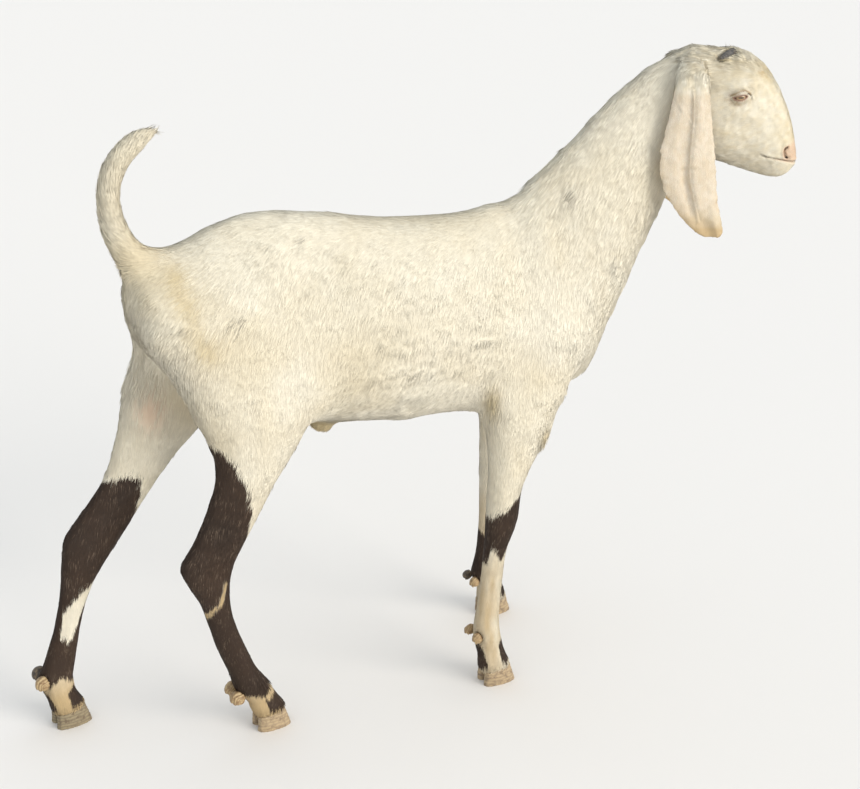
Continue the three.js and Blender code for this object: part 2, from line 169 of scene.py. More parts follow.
def path_distance(points, path):
    """How far each point is from a line through the given places."""
    path = np.asarray(path, float)
    nearest = np.full(len(points), np.inf)
    for start, end in zip(path[:-1], path[1:]):
        run = end - start
        along = np.clip((points - start) @ run / (run @ run), 0, 1)
        gap = np.linalg.norm(points - start - along[:, None] * run, axis=1)
        nearest = np.minimum(nearest, gap)
    return nearest


def drift(points, size, seed):
    """Smooth random values from -1 to 1, with features about `size` metres across."""
    place = points / size + seed * 7.31
    cell = np.floor(place).astype(np.int64)
    part = place - cell
    part = part * part * (3 - 2 * part)
    total = np.zeros(len(points))
    for corner in np.ndindex(2, 2, 2):
        at = cell + corner
        mixed = at[:, 0] * 73856093 ^ at[:, 1] * 19349663 ^ at[:, 2] * 83492791 ^ seed * 2654435761
        mixed = (mixed ^ (mixed >> 15)) * 1274126177
        value = ((mixed ^ (mixed >> 13)) & 0xFFFF) / 32767.5 - 1
        share = np.where(corner, part, 1 - part).prod(1)
        total += value * share
    return total


# ---- meshes -------------------------------------------------------------------------------------
def read(data, name, width=3, kind=np.float32):
    """One property of every element of a mesh collection, as an array."""
    values = np.empty(len(data) * width, kind)
    data.foreach_get(name, values)
    return values.reshape(-1, width) if width > 1 else values


def points_of(mesh):
    return read(mesh.vertices, "co").astype(float)


def normals_of(mesh):
    return read(mesh.vertices, "normal").astype(float)


def place_points(mesh, points):
    mesh.vertices.foreach_set("co", points.astype(np.float32).ravel())
    mesh.update()


def push_out(mesh, points, push):
    """Moves each point along its normal by so many millimetres."""
    place_points(mesh, points + normals_of(mesh) * push[:, None] * MM)


def triangles_of(mesh):
    mesh.calc_loop_triangles()
    return read(mesh.loop_triangles, "vertices", 3, np.int32)


def edges_of(mesh):
    return read(mesh.edges, "vertices", 2, np.int32)


def new_object(name, mesh):
    made = bpy.data.objects.new(name, mesh)
    bpy.context.scene.collection.objects.link(made)
    return made


@contextlib.contextmanager
def opened(mesh):
    """A mesh opened for work on its parts, and written back."""
    made = bmesh.new()
    made.from_mesh(mesh)
    yield made
    made.to_mesh(mesh)
    made.free()


def mesh_from(name, vertices, triangles):
    """A smooth mesh of triangles, straight from arrays."""
    mesh = bpy.data.meshes.new(name)
    mesh.vertices.add(len(vertices))
    mesh.vertices.foreach_set("co", vertices.astype(np.float32).ravel())
    mesh.loops.add(triangles.size)
    mesh.loops.foreach_set("vertex_index", triangles.astype(np.int32).ravel())
    mesh.polygons.add(len(triangles))
    mesh.polygons.foreach_set("loop_start", np.arange(0, triangles.size, 3, dtype=np.int32))
    mesh.update(calc_edges=True)
    mesh.polygons.foreach_set("use_smooth", np.ones(len(triangles), bool))
    return mesh


def apply_modifier(obj, kind, **settings):
    """Puts one modifier on an object and keeps its result as the object's plain mesh."""
    modifier = obj.modifiers.new(kind.lower(), kind)
    for name, value in settings.items():
        setattr(modifier, name, value)
    old = obj.data
    seen = obj.evaluated_get(bpy.context.evaluated_depsgraph_get())
    obj.data = bpy.data.meshes.new_from_object(seen)
    obj.modifiers.clear()
    bpy.data.meshes.remove(old)
    obj.data.shade_smooth()


KINDS = {  # of attribute: its field, its width and its kind of number
    "INT": ("value", 1, np.int32),
    "FLOAT": ("value", 1, np.float32),
    "FLOAT_VECTOR": ("vector", 3, np.float32),
    "FLOAT_COLOR": ("color", 4, np.float32),
}


def set_values(mesh, name, kind, values):
    field, _, number = KINDS[kind]
    layer = mesh.attributes.get(name) or mesh.attributes.new(name, kind, "POINT")
    layer.data.foreach_set(field, np.ascontiguousarray(values, number).ravel())


def get_values(mesh, name, kind):
    return read(mesh.attributes[name].data, *KINDS[kind])


def with_alpha(shares):
    return np.hstack([shares, np.ones((len(shares), 1))])


def set_map(mesh, name, spots, faces):
    """Gives a mesh a map from the spot of each of its vertices."""
    layer = mesh.uv_layers.new(name=name, do_init=False)
    layer.uv.foreach_set("vector", spots[faces.ravel()].astype(np.float32).ravel())


def spread(values, edges, share, rounds):
    """Moves each vertex's value towards its neighbours' mean, `share` of the way, over and over."""
    size = len(values)
    values = values.reshape(size, -1).astype(float)
    first, second = edges.T
    count = np.maximum(np.bincount(edges.ravel(), minlength=size), 1)[:, None]
    share = np.broadcast_to(np.asarray(share, float).reshape(-1, 1), (size, 1))
    for _ in range(rounds):
        total = np.stack([
            np.bincount(first, column[second], size) + np.bincount(second, column[first], size)
            for column in values.T
        ], 1)
        values = values + share * (total / count - values)
    return values


PUSH_BACK = -1.04  # of the push in


def smoothed(points, edges, share, rounds):
    """Smooths a surface and keeps its bulk: each push in is followed by a slightly longer push out."""
    for _ in range(rounds):
        points = spread(points, edges, share, 1)
        points = spread(points, edges, PUSH_BACK * share, 1)
    return points


# ---- the skin -----------------------------------------------------------------------------------
def merged_copy(node):
    """A node's loose triangles as one closed bmesh."""
    made = bmesh.new()
    made.from_mesh(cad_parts[node].data)
    bmesh.ops.remove_doubles(made, verts=made.verts, dist=1e-6)
    made.normal_update()
    return made


def joined_flesh(swell):
    """Every node of flesh in one mesh, each swollen by a hair's breadth, and whose each face is."""
    places, faces, owners = [], [], []
    for node in FLESH + ["eye_right", "eye_left"]:  # the eyes fill their sockets, under the lids
        index = REGION.get(node, REGION["head"])
        shell = merged_copy(node)
        first = len(places)
        grown = swell * (3 if node.startswith("ear") else 1)
        places += [tuple(v.co + v.normal * grown) for v in shell.verts]
        faces += [[first + v.index for v in face.verts] for face in shell.faces]
        owners += [index] * len(shell.faces)
        shell.free()
    return np.array(places), faces, np.array(owners)


class Flesh:
    """The solids as one surface that can be asked for its nearest point."""

    def __init__(self):
        self.places, self.faces, self.owners = joined_flesh(0)
        self.tree = BVHTree.FromPolygons([tuple(p) for p in self.places], self.faces)

    def nearest(self, points):
        """For each point: the node under it, and how far outside that it is (less than 0 inside)."""
        owner = np.empty(len(points), int)
        outside = np.empty(len(points))
        for i, point in enumerate(points):
            place, normal, face, _ = self.tree.find_nearest(point)
            owner[i] = self.owners[face]
            outside[i] = (Vector(point) - place).dot(normal)
        return owner, outside


def refined(mesh, inside):
    """Halves the edges that lie wholly inside the marked vertices."""
    with opened(mesh) as made:
        made.verts.ensure_lookup_table()
        cut = [e for e in made.edges if inside[e.verts[0].index] and inside[e.verts[1].index]]
        bmesh.ops.subdivide_edges(made, edges=cut, cuts=1, use_grid_fill=True)
        bmesh.ops.triangulate(made, faces=[f for f in made.faces if len(f.verts) > 4])
    mesh.update()


def laid_on(node, path, depth):
    """A path through rough places, laid on a node's surface and sunk under it by a depth in mm."""
    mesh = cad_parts[node].data
    places = [tuple(p) for p in in_head(points_of(mesh))]
    tree = BVHTree.FromPolygons(places, [tuple(f) for f in triangles_of(mesh)])
    path = np.asarray(path, float)
    apart = np.linalg.norm(np.diff(path, axis=0), axis=1)
    along = np.concatenate([[0], np.cumsum(apart)])
    steps = np.linspace(0, along[-1], int(along[-1] / 2) + 2)
    laid = []
    for place in np.stack([np.interp(steps, along, column) for column in path.T], 1):
        spot, normal, _, _ = tree.find_nearest(place)
        laid.append(spot - normal * depth)
    return np.array(laid)


# Places on the right side of the head, in its axes: [forward, left, up].
NOSTRIL = laid_on("head", [[184, -31, 897], [181, -33, 889], [183, -32, 882], [188, -28, 880]], 1.5)
TEAR_LINE = laid_on("head", [
    [105.5, -54, 989], [109, -53, 991], [113, -52, 987], [115.5, -51, 981]], 1.5)
LIP_NOTCH = laid_on("head", [[142, -34, 885], [146, -34, 882.5], [151, -34, 880.5]], 1.5)
EAR_RIDGE = laid_on("ear_right", [
    [12, -73, 1000], [15, -78, 970], [14, -83, 944], [11, -86, 905],
    [9, -89, 880], [11, -90, 861], [18, -93, 830], [27, -96, 794]], 0)
EAR_CREASE = laid_on("ear_right", [[-15, -72, 991], [-8, -76, 977], [4, -80, 960], [13, -82, 946]], 0)
EAR_VALLEY = laid_on("ear_right", [
    [3, -88, 878], [4, -90, 862], [9, -93, 830], [17, -95, 798], [25, -97, 780]], 0)
MOUTH_CORNER = 143
MOUTH_LEVEL = 873.5
MOUTH_SLOPE = 0.2126
LID_HALF = 11.0


def lid_edges(forward):
    """The upper and the lower edge of the eye's opening, above its centre, at a place along it."""
    t = np.clip(forward / LID_HALF, -1, 1)
    arch = 1 - t * t
    upper = 0.1 + 3.2 * arch**0.7 * (1 + 0.35 * t) + 0.9 * t
    lower = 0.1 - 4.0 * arch**0.75 * (1 - 0.12 * t) + 0.9 * t
    return upper, lower


def in_opening(forward, up):
    """How deep a place lies inside the eye's opening, seen from the side; less than 0 outside."""
    upper, lower = lid_edges(forward)
    within = np.minimum(upper - up, up - lower)
    beyond = np.maximum(np.abs(forward) - LID_HALF, 0)
    return np.where(beyond > 0, -np.hypot(beyond, np.maximum(-within, 0)), within)


def mouth_gap(places):
    """How far above the line of the lips a place is, and how much the mouth reaches it."""
    forward, _, up = places.T
    level = MOUTH_LEVEL + MOUTH_SLOPE * (190 - forward)
    return up - level, ramp(MOUTH_CORNER, MOUTH_CORNER + 5, forward)


FACE_SWELLS = [  # centre, radii, height: bones and muscle of the head
    ([112, -46, 1004], [22, 14, 8], 2.6),  # brow
    ([84, -52, 1003], [16, 12, 7], 1.8),
    ([100, -54, 966], [20, 14, 7], 1.6),  # cheek bone under the eye
    ([126, -44, 950], [16, 14, 7], 1.4),
    ([58, -48, 925], [26, 18, 26], 2.2),  # chewing muscle
    ([150, -36, 900], [18, 14, 14], 1.6),  # upper lip, over the teeth
    ([188, -26, 905], [9, 10, 6], 1.4),  # wing of the nostril
    ([193, -26, 889], [6, 9, 8], 1.5),
    ([172, -26, 866], [16, 12, 5], 1.2),  # lower lip
    ([150, -40, 962], [22, 14, 22], -2.4),  # hollow beside the nose
    ([92, -50, 938], [14, 10, 10], -1.6),
    ([66, -50, 985], [14, 14, 20], -2.2),  # temple
    ([206, 0, 887], [8, 2.2, 14], -1.6),  # groove down the middle of the nose
]
FACE_GROOVES = [  # line, height, distance from the line and width
    (LIP_NOTCH, -3.0, 0, 1.8),
    (NOSTRIL, -5.5, 0, 1.6),
    (NOSTRIL, 1.3, 4.5, 2.2),
    (TEAR_LINE, -2.0, 0, 1.3),
]
BODY_SWELLS = [  # centre, radii, height: what shows of the frame under the skin
    ([-262, -76, 818], [30, 40, 26], 6),  # point of the hip
    ([-205, -100, 775], [46, 60, 44], -6),  # hollow of the flank
    ([-440, -48, 738], [26, 36, 30], 5),  # pin bone
    ([-330, -90, 742], [46, 60, 46], 3),  # thigh
    ([-352, -84, 655], [30, 60, 60], -2.5),
    ([-226, -112, 600], [26, 46, 34], 5),  # stifle
    ([-176, -112, 588], [22, 60, 70], -4),  # fold of the flank, behind the belly
    ([205, -84, 640], [42, 60, 60], 4),  # shoulder
    ([258, -60, 690], [28, 50, 34], 4),
    ([140, -90, 720], [22, 60, 90], -3.5),  # behind the shoulder blade
    ([180, -78, 770], [20, 50, 60], 3.5),  # spine of the shoulder blade
    ([64, -90, 575], [20, 60, 50], -4),  # behind the elbow
    ([84, -92, 548], [16, 30, 20], 4),  # elbow
    ([234, -46, 840], [7, 40, 11], -4.5),  # dimple at the base of the neck
    ([246, -44, 845], [8, 40, 14], 1.8),
]
BELLY_FOLD = [[-100, -70, 516], [-60, -84, 524], [-20, -90, 526], [30, -84, 522]]
RIB = {"first": -110, "apart": 31, "count": 7, "slope": 0.28, "height": 0.9, "level": 660, "reach": 95}
CANNON, TENDON, WRIST = 170, 400, (290, 338)  # levels of the legs' grooves, and of the knee's creases


def shape_body(mesh, region, leg):
    """Bones, hollows, ribs, tendons and folds, as pushes along the normals."""
    points = points_of(mesh)
    places = in_body(points)
    folded = mirror_right(places)
    push = with_mounds(np.zeros(len(points)), folded, BODY_SWELLS)
    level = folded[:, 2] - RIB["level"]
    reach = bump(level, RIB["reach"]) * ramp(-60, -95, folded[:, 1])
    for i in range(RIB["count"]):
        across = folded[:, 0] - (RIB["first"] + RIB["apart"] * i + RIB["slope"] * level)
        wave = np.cos(np.clip(across / (RIB["apart"] / 2), -1, 1) * math.pi)
        push += RIB["height"] * reach * (1 + wave)
    push -= 4.0 * bump(path_distance(folded, BELLY_FOLD), 6)
    shifted = folded - [0, 0, -13]
    push += 4.5 * bump(path_distance(shifted, BELLY_FOLD), 9)
    neck = spread(on(region, "neck") * 1.0, edges_of(mesh), 0.5, 10)[:, 0]
    push += neck * (0.5 * drift(points, 0.013, 53) + 0.3 * drift(points, 0.03, 54))
    front, out, height = leg.T
    hind = on(region, "hind")
    fore = on(region, "fore")
    flat = ramp(0.35, 0.8, np.abs(out))
    cannon = bump(height - CANNON, 60) * flat
    push -= 1.6 * cannon * bump(front + 0.3, 0.25) * (hind | fore)
    tendon = bump(height - TENDON, 55) * flat * bump(front + 0.35, 0.3)
    push -= 3.2 * tendon * hind
    creases = bump(height - WRIST[0], 9) + bump(height - WRIST[1], 9)
    push -= 0.8 * creases * flat * fore
    push_out(mesh, points, push)


def shape_ears(mesh, region):
    """The ears' long ridge, the valley behind it, and the flat upper part."""
    points = points_of(mesh)
    folded = mirror_right(in_head(points))
    outer = ramp(-0.1, 0.4, -normals_of(mesh) @ ACROSS * np.sign(in_head(points)[:, 1]) * -1)
    forward, level = folded[:, 0], folded[:, 2]
    upper = ramp(872, 900, level) * ramp(1012, 995, level)
    push = 2.2 * upper * bump(forward - 6, 11)
    order = np.argsort(EAR_RIDGE[:, 2])
    ahead = forward - np.interp(level, EAR_RIDGE[order, 2], EAR_RIDGE[order, 0])
    roll = 5.0 * bump(ahead - 6, 8) - 2.5 * bump(ahead - 23, 8)
    push += roll * ramp(1010, 985, level) * ramp(785, 820, level)
    push += 1.5 * bump(path_distance(folded, EAR_RIDGE), 2.4)
    push += 1.1 * bump(path_distance(folded, EAR_CREASE), 2.2)
    push -= 2.6 * bump(path_distance(folded, EAR_VALLEY), 5.0) * ramp(795, 840, level)
    push += 0.5 * drift(points, 0.014, 41)
    ear = on(region, "ear")
    push = spread(push * ear * outer, edges_of(mesh), 0.5, 1)[:, 0]
    push_out(mesh, points, push)


def shape_face(mesh):
    """Brow, cheek, lids, nostrils and lips, in the head's axes."""
    points = points_of(mesh)
    places = in_head(points)
    folded = mirror_right(places)
    push = with_mounds(np.zeros(len(points)), folded, FACE_SWELLS)
    gap, reach = mouth_gap(folded)
    push -= 2.4 * reach * bump(gap, 1.3)
    push += 1.0 * reach * bump(np.abs(gap) - 4.5, 3)
    for line, height, away, width in FACE_GROOVES:
        push += height * bump(path_distance(folded, line) - away, width)
    push += 0.6 * drift(points, 0.0075, 51) + 0.35 * drift(points, 0.016, 52)
    near_head = mound(places, [110, 0, 960], [170, 150, 170]) > 0.1
    push_out(mesh, points, push * near_head)
    shape_lids(mesh)


LID_THICK = 1.7
LID_ROUNDING = 2.2
LID_REACH = (24, 15)  # from the eye's middle: where the lids begin to rise, and where they are whole
LID_CREASES = [(5.0, 1.0), (9.5, 0.8)]  # how far outside the opening, and how deep


def shape_lids(mesh):
    """Stretches the skin over each eyeball and opens it between the lids."""
    points = points_of(mesh)
    places = in_head(points)
    side = np.sign(places[:, 1])
    forward, up = from_eye(places)
    out = np.abs(places[:, 1]) - EYE_OUT
    across = np.hypot(forward, up)
    near = (across < LID_REACH[0]) & (out > -6)
    depth = in_opening(forward, up)
    shell = EYE_RADIUS + LID_THICK
    above = ramp(-4, 4, up)
    for away, deep in LID_CREASES:
        shell = shell - deep * bump(depth + away, 1.1) * (0.35 + 0.65 * above)
    cap = np.sqrt(np.maximum(shell**2 - across**2, 0))
    over = np.maximum(out, cap) + LID_ROUNDING * np.exp(-np.abs(out - cap) / LID_ROUNDING) * 0.4
    lid = np.where(across < EYE_RADIUS + 6, over, out)
    lid = out + (lid - out) * ramp(*LID_REACH, across)
    hidden = np.sqrt(np.maximum((EYE_RADIUS - 3.5) ** 2 - np.minimum(across, 9) ** 2, 0))
    open_share = ramp(-0.35, 0.35, depth)
    lid = lid * (1 - open_share) + hidden * open_share
    places[near, 1] = (side * (EYE_OUT + lid))[near]
    place_points(mesh, from_head(places))


def leg_places(points, region, profile):
    """For each point: place from back (-1) to front (1) of its leg, from inside to outside, height."""
    result = np.zeros((len(points), 3))
    places = in_body(points)
    result[:, 2] = places[:, 2]
    for leg, (levels, back, front, inner, outer) in profile.items():
        own = on(region, leg)
        x, y, z = places[own].T
        low, high = np.interp(z, levels, back), np.interp(z, levels, front)
        result[own, 0] = (2 * x - low - high) / np.maximum(high - low, 1)
        low, high = np.interp(z, levels, inner), np.interp(z, levels, outer)
        sign = SIDES[leg.split("_")[1]]
        result[own, 1] = (2 * y - low - high) / np.maximum(high - low, 1) * sign
    return result


def leg_profile(points, region):
    """The front, back, inside and outside of each leg at a run of levels."""
    places = in_body(points)
    profile = {}
    for leg in LEGS:
        own = on(region, leg)
        x, y, z = places[own].T
        levels = np.arange(34, 560, 12.0)
        rows = []
        for level in levels:
            near = np.abs(z - level) < 9
            rows.append([x[near].min(), x[near].max(), y[near].min(), y[near].max()])
        profile[leg] = (levels, *np.array(rows).T)
    return profile


# ---- markings -----------------------------------------------------------------------------------
# Dark patches on the legs. Each has its top and its lower edge as [place, level]: the place runs
# from -1 at the back of the leg to 1 at its front, and the level is the height above the floor.
DARK_PATCHES = {
    "fore_right": [
        ([[-1, 333], [-0.6, 338], [0, 350], [0.6, 372], [1, 386]],
         [[-1, 244], [-0.82, 246], [-0.7, 282], [0.3, 247], [0.55, 258], [0.75, 284], [1, 290]]),
        ([[0.3, 50], [0.45, 84], [1, 96]], [[0.3, 50], [0.55, 46], [1, 50]]),
        ([[-1, 96], [-0.7, 84], [-0.62, 40]], [[-1, 36], [-0.62, 40]]),
    ],
    "fore_left": [
        ([[-1, 192], [-0.6, 176], [-0.4, 150], [-0.2, 118]], [[-1, 84], [-0.2, 96]]),
        ([[0.3, 50], [0.5, 78], [1, 92]], [[0.3, 50], [0.6, 44], [1, 48]]),
    ],
    "hind_right": [
        ([[-1, 536], [-0.8, 525], [-0.43, 480], [0.35, 424], [0.79, 372], [1, 322]],
         [[-1, 84], [-0.2, 74], [0.6, 72], [1, 98]]),
        ([[0.0, 50], [0.2, 64], [1, 68]], [[0.0, 40], [0.4, 36], [1, 38]]),
    ],
    "hind_left": [
        ([[-1, 430], [-0.9, 434], [-0.08, 440], [0.2, 426], [0.6, 391], [1, 364]],
         [[-1, 222], [-0.6, 222], [-0.3, 232], [0.3, 254], [1, 272]]),
        ([[-1, 172], [-0.1, 158], [0.35, 172], [0.6, 204], [0.8, 244], [1, 268]],
         [[-1, 82], [0, 100], [1, 92]]),
        ([[-1, 240], [-0.85, 240], [-0.65, 214], [-0.5, 170]], [[-1, 150], [-0.5, 150]]),
        ([[0.2, 46], [0.45, 72], [1, 80]], [[0.2, 46], [0.5, 40], [1, 44]]),
        ([[-1, 82], [-0.75, 74], [-0.6, 40]], [[-1, 34], [-0.6, 40]]),
    ],
}
THIN_HAIR = ([-436, 42, 545], [30, 26, 40])  # centre and radii, inside the far thigh
HOCK_STRIPE = [[-362, 296], [-372, 266], [-396, 240]]  # a thin tan line on the near hind cannon
RUMP_STAIN = [[-396, -44, 796], [-391, -78, 751], [-386, -100, 712], [-367, -109, 686]]
STAINS_AND_SKY_SHEEN = [  # centre, radii, strength: warm tints in the cream, in the body's axes; below 0 paler, which on the hip and the top of the back is painted sky sheen
    ([-448, 0, 806], [40, 60, 40], 0.5),
    ([-400, -70, 760], [60, 60, 40], 0.3),
    ([-330, -90, 690], [60, 60, 50], 0.35),
    ([-480, 0, 900], [70, 60, 110], 0.3),  # tail
    ([-60, 0, 836], [90, 40, 16], 0.3),
    ([60, 0, 832], [90, 50, 18], 0.3),
    ([-172, 0, 496], [30, 30, 24], 1.6),
    ([-60, 0, 500], [150, 80, 26], 0.35),
    ([-140, -110, 620], [60, 60, 60], 0.3),
    ([-360, -60, 560], [60, 60, 60], 0.35),
    ([140, -100, 560], [70, 50, 50], 0.2),
    ([80, -104, 545], [12, 30, 22], 0.9),
    ([176, -108, 474], [14, 40, 14], 0.7),
    ([-100, -112, 560], [50, 40, 16], 0.3),
    # painted sky sheen: paler, cooler cream on the hip
    ([-300, -90, 800], [70, 60, 50], -0.2),
    ([-240, -110, 610], [40, 40, 50], -0.25),
    ([-10, -100, 545], [120, 60, 40], -0.5),
    # painted sky sheen: paler, cooler cream along the top of the back
    ([-40, 0, 850], [130, 60, 24], -0.3),
    ([205, -84, 640], [70, 60, 60], -0.25),
]
FACE_STAINS_AND_SHADE = [  # the same, in the head's axes; the last is painted shade in the fold of the cheek
    ([196, 0, 950], [30, 44, 66], 0.62),
    ([142, -22, 1014], [22, 24, 20], 0.5),
    ([100, -40, 1040], [40, 30, 16], 0.25),
    # painted shade in the fold of the cheek
    ([82, -50, 930], [16, 12, 14], 0.2),
]
STROKES = [  # partings in the hair of the near thigh, where it whorls
    [[-341, -95, 721], [-314, -92, 731]],
    [[-334, -94, 730], [-323, -93, 736]],
    [[-328, -97, 718], [-311, -93, 729]],
    [[-326, -99, 711], [-318, -98, 719]],
]
STREAKED = [1, 1, 0.3]  # draws a random pattern out up and down
FLATTER = np.array([1, 0.4, 1])  # makes light of the depth, for lines on a side
SPECKS_AND_SHADE = [  # faint dirty places and whorls, and painted shade in the dimple at the base of the neck, in the body's axes: centre, radius, strength
    ([-203, -51, 821], [4, 20, 9], 0.85),
    ([-212, -89, 757], [8, 20, 5], 0.45),
    ([-302, -95, 640], 7, 0.3),
    ([-262, -90, 770], 6, 0.3),
    ([-215, -10, 850], 12, 0.4),
    ([-120, -112, 700], 6, 0.25),
    ([-20, -118, 740], 5, 0.25),
    ([60, -100, 700], 5, 0.25),
    ([-380, -82, 600], 7, 0.25),
    # painted shade in the dimple at the base of the neck
    ([235, -45, 842], [5, 30, 12], 0.5),
    ([216, -50, 822], [10, 30, 5], 0.22),
    ([-150, -118, 560], 7, 0.25),
    ([-30, -60, 832], 22, 0.2),
    ([90, -40, 836], 16, 0.2),
]


def leg_marks(points, region, leg):
    """Shares of dark and tan hair on the legs: ragged patches, and tan towards the feet."""
    places = in_body(points)
    ragged = drift(points, 0.009, 3) * 5 + drift(points, 0.003, 4) * 4
    front, _, level = leg.T
    dark = np.zeros(len(points))
    tan = np.zeros(len(points))
    for name, patches in DARK_PATCHES.items():
        own = on(region, name)
        place, height = front[own], level[own] + ragged[own]
        shade = np.zeros(own.sum())
        for top, foot in patches:
            top, foot = np.array(top, float), np.array(foot, float)
            above = np.interp(place, top[:, 0], top[:, 1]) - height
            below = height - np.interp(place, foot[:, 0], foot[:, 1])
            start = max(top[0, 0], foot[0, 0])
            end = min(top[-1, 0], foot[-1, 0])
            beside = np.minimum(place - start, end - place) * 20
            beside = np.where((start <= -1) & (place < 0) | (end >= 1) & (place > 0), 20, beside)
            shade = np.maximum(shade, ramp(-1.5, 1.5, np.minimum(np.minimum(above, below), beside)))
        dark[own] = shade
        lower = 250 if "fore" in name else 110
        tan[own] = ramp(lower + 60, lower - 60, height)
        if "fore" in name:
            uneven = drift(points[own] * STREAKED, 0.008, 17)
            tan[own] *= 0.62 - 0.35 * ramp(-0.3, 0.6, place) + 0.25 * uneven
    stripe = path_distance(places[:, [0, 2]], HOCK_STRIPE) + 0.3 * ragged
    thick = 2.2 + 2.0 * ramp(275, 245, places[:, 2])
    on_stripe = on(region, "hind_right") * ramp(thick + 1, thick - 1, stripe)
    on_stripe = on_stripe * ramp(-0.2, 0.2, leg[:, 1])
    dark *= 1 - 0.85 * on_stripe
    return dark, np.maximum(tan, 1.1 * on_stripe)


def body_stains_and_sky_sheen(points, folded):
    """How warm the cream is over the body, with painted sky sheen paling it on the hip and the top of
    the back.
    """
    stain = 0.12 + 0.12 * drift(points, 0.09, 8) + 0.1 * drift(points, 0.03, 9)
    stain = with_mounds(stain, folded, STAINS_AND_SKY_SHEEN)
    rump = bump(path_distance(folded, RUMP_STAIN), 15)
    return stain + 0.62 * rump * (0.55 + 0.45 * ramp(-0.7, 0.6, drift(points * [1, 1, 0.5], 0.012, 10)))


def soiled_and_shaded(points, places):
    """Faint dirty places, whorls and partings, and painted shade in the dimple at the base of the neck.
    """
    speck = np.zeros(len(points))
    streaky = np.clip(0.5 + 1.2 * drift(points * STREAKED, 0.0035, 13), 0, 1)
    for centre, radius, strength in SPECKS_AND_SHADE:
        spot = strength * mound(places, centre, np.array(radius))
        speck = np.maximum(speck, spot * (0.35 + 0.65 * streaky))
    for stroke in STROKES:
        away = path_distance(places * FLATTER, stroke * FLATTER)
        speck = np.maximum(speck, 0.5 * ramp(2.2, 0.8, away))
    return speck


def marks(points, region, leg):
    """Shares of dark, tan and stained hair, and of bare pink, grey and near-black skin; they also hold
    painted shade round the eye, on the cheek, in the neck's dimple and in the openings of the face, and
    painted sky sheen on the hip and back.
    """
    places = in_body(points)
    dark, tan = leg_marks(points, region, leg)
    stain = body_stains_and_sky_sheen(points, mirror_right(places))
    speck = soiled_and_shaded(points, places)
    head = in_head(points)
    face = mirror_right(head)
    on_head = on(region, "head", "ear")
    stain = with_mounds(stain, face, FACE_STAINS_AND_SHADE, on_head)
    stain += on_head * (0.1 + 0.28 * drift(points, 0.006, 18))
    mottle = mound(face, [138, -32, 1016], [16, 18, 15]) * ramp(0.1, 0.5, drift(points, 0.0045, 12))
    tan = np.maximum(tan, 0.8 * mottle * on_head)
    pink, grey, black = face_skin(face, on_head)
    ear = on(region, "ear")
    bare_ear = ear * ramp(1010, 985, head[:, 2])
    pink = np.maximum(pink, (0.4 - 0.3 * ramp(822, 790, head[:, 2])) * bare_ear)
    thin = on(region, "upper_hind_left") * mound(places, *THIN_HAIR)
    pink = np.maximum(pink, 0.75 * thin)
    tip = ramp(822, 785, head[:, 2] + 0.25 * (head[:, 0] - 30))
    tan = np.maximum(tan, ear * (0.8 * tip + 0.3 * ramp(788, 778, head[:, 2])))
    front_rim = ear * ramp(51, 57, head[:, 0]) * ramp(950, 930, head[:, 2]) * ramp(800, 830, head[:, 2])
    tan = np.maximum(tan, 0.8 * front_rim * ramp(0.3, 0.6, drift(points, 0.004, 14)))
    eye_x, eye_z = from_eye(face)
    near_eye = on_head * (np.hypot(eye_x, eye_z) < NEAR_EYE)
    outside = -in_opening(eye_x, eye_z)
    # painted shade in the crease above the eye, laid on as tan hair and, below, as a little dark hair
    fold = bump(outside - 5.4 - 0.12 * eye_x, 1.6) * ramp(-1, 4, eye_z)
    # painted shade below the eye, broken into dots by noise and laid on as tan hair
    shade_under_eye = 0.5 * ramp(15, 4, outside) * ramp(0, -4, eye_z) * ramp(-0.3, 0.5, drift(points, 0.0022, 16))
    tan = np.maximum(tan, near_eye * (0.9 * fold + shade_under_eye))
    tear = path_distance(face, TEAR_LINE)
    speck = np.maximum(speck, 0.5 * on_head * ramp(1.9, 0.9, tear))
    speck = np.maximum(speck, 0.28 * near_eye * fold)
    dark = np.maximum(dark, speck)
    return np.stack([dark, tan, np.clip(stain, 0, 1)], 1), np.stack([pink, grey, black], 1)


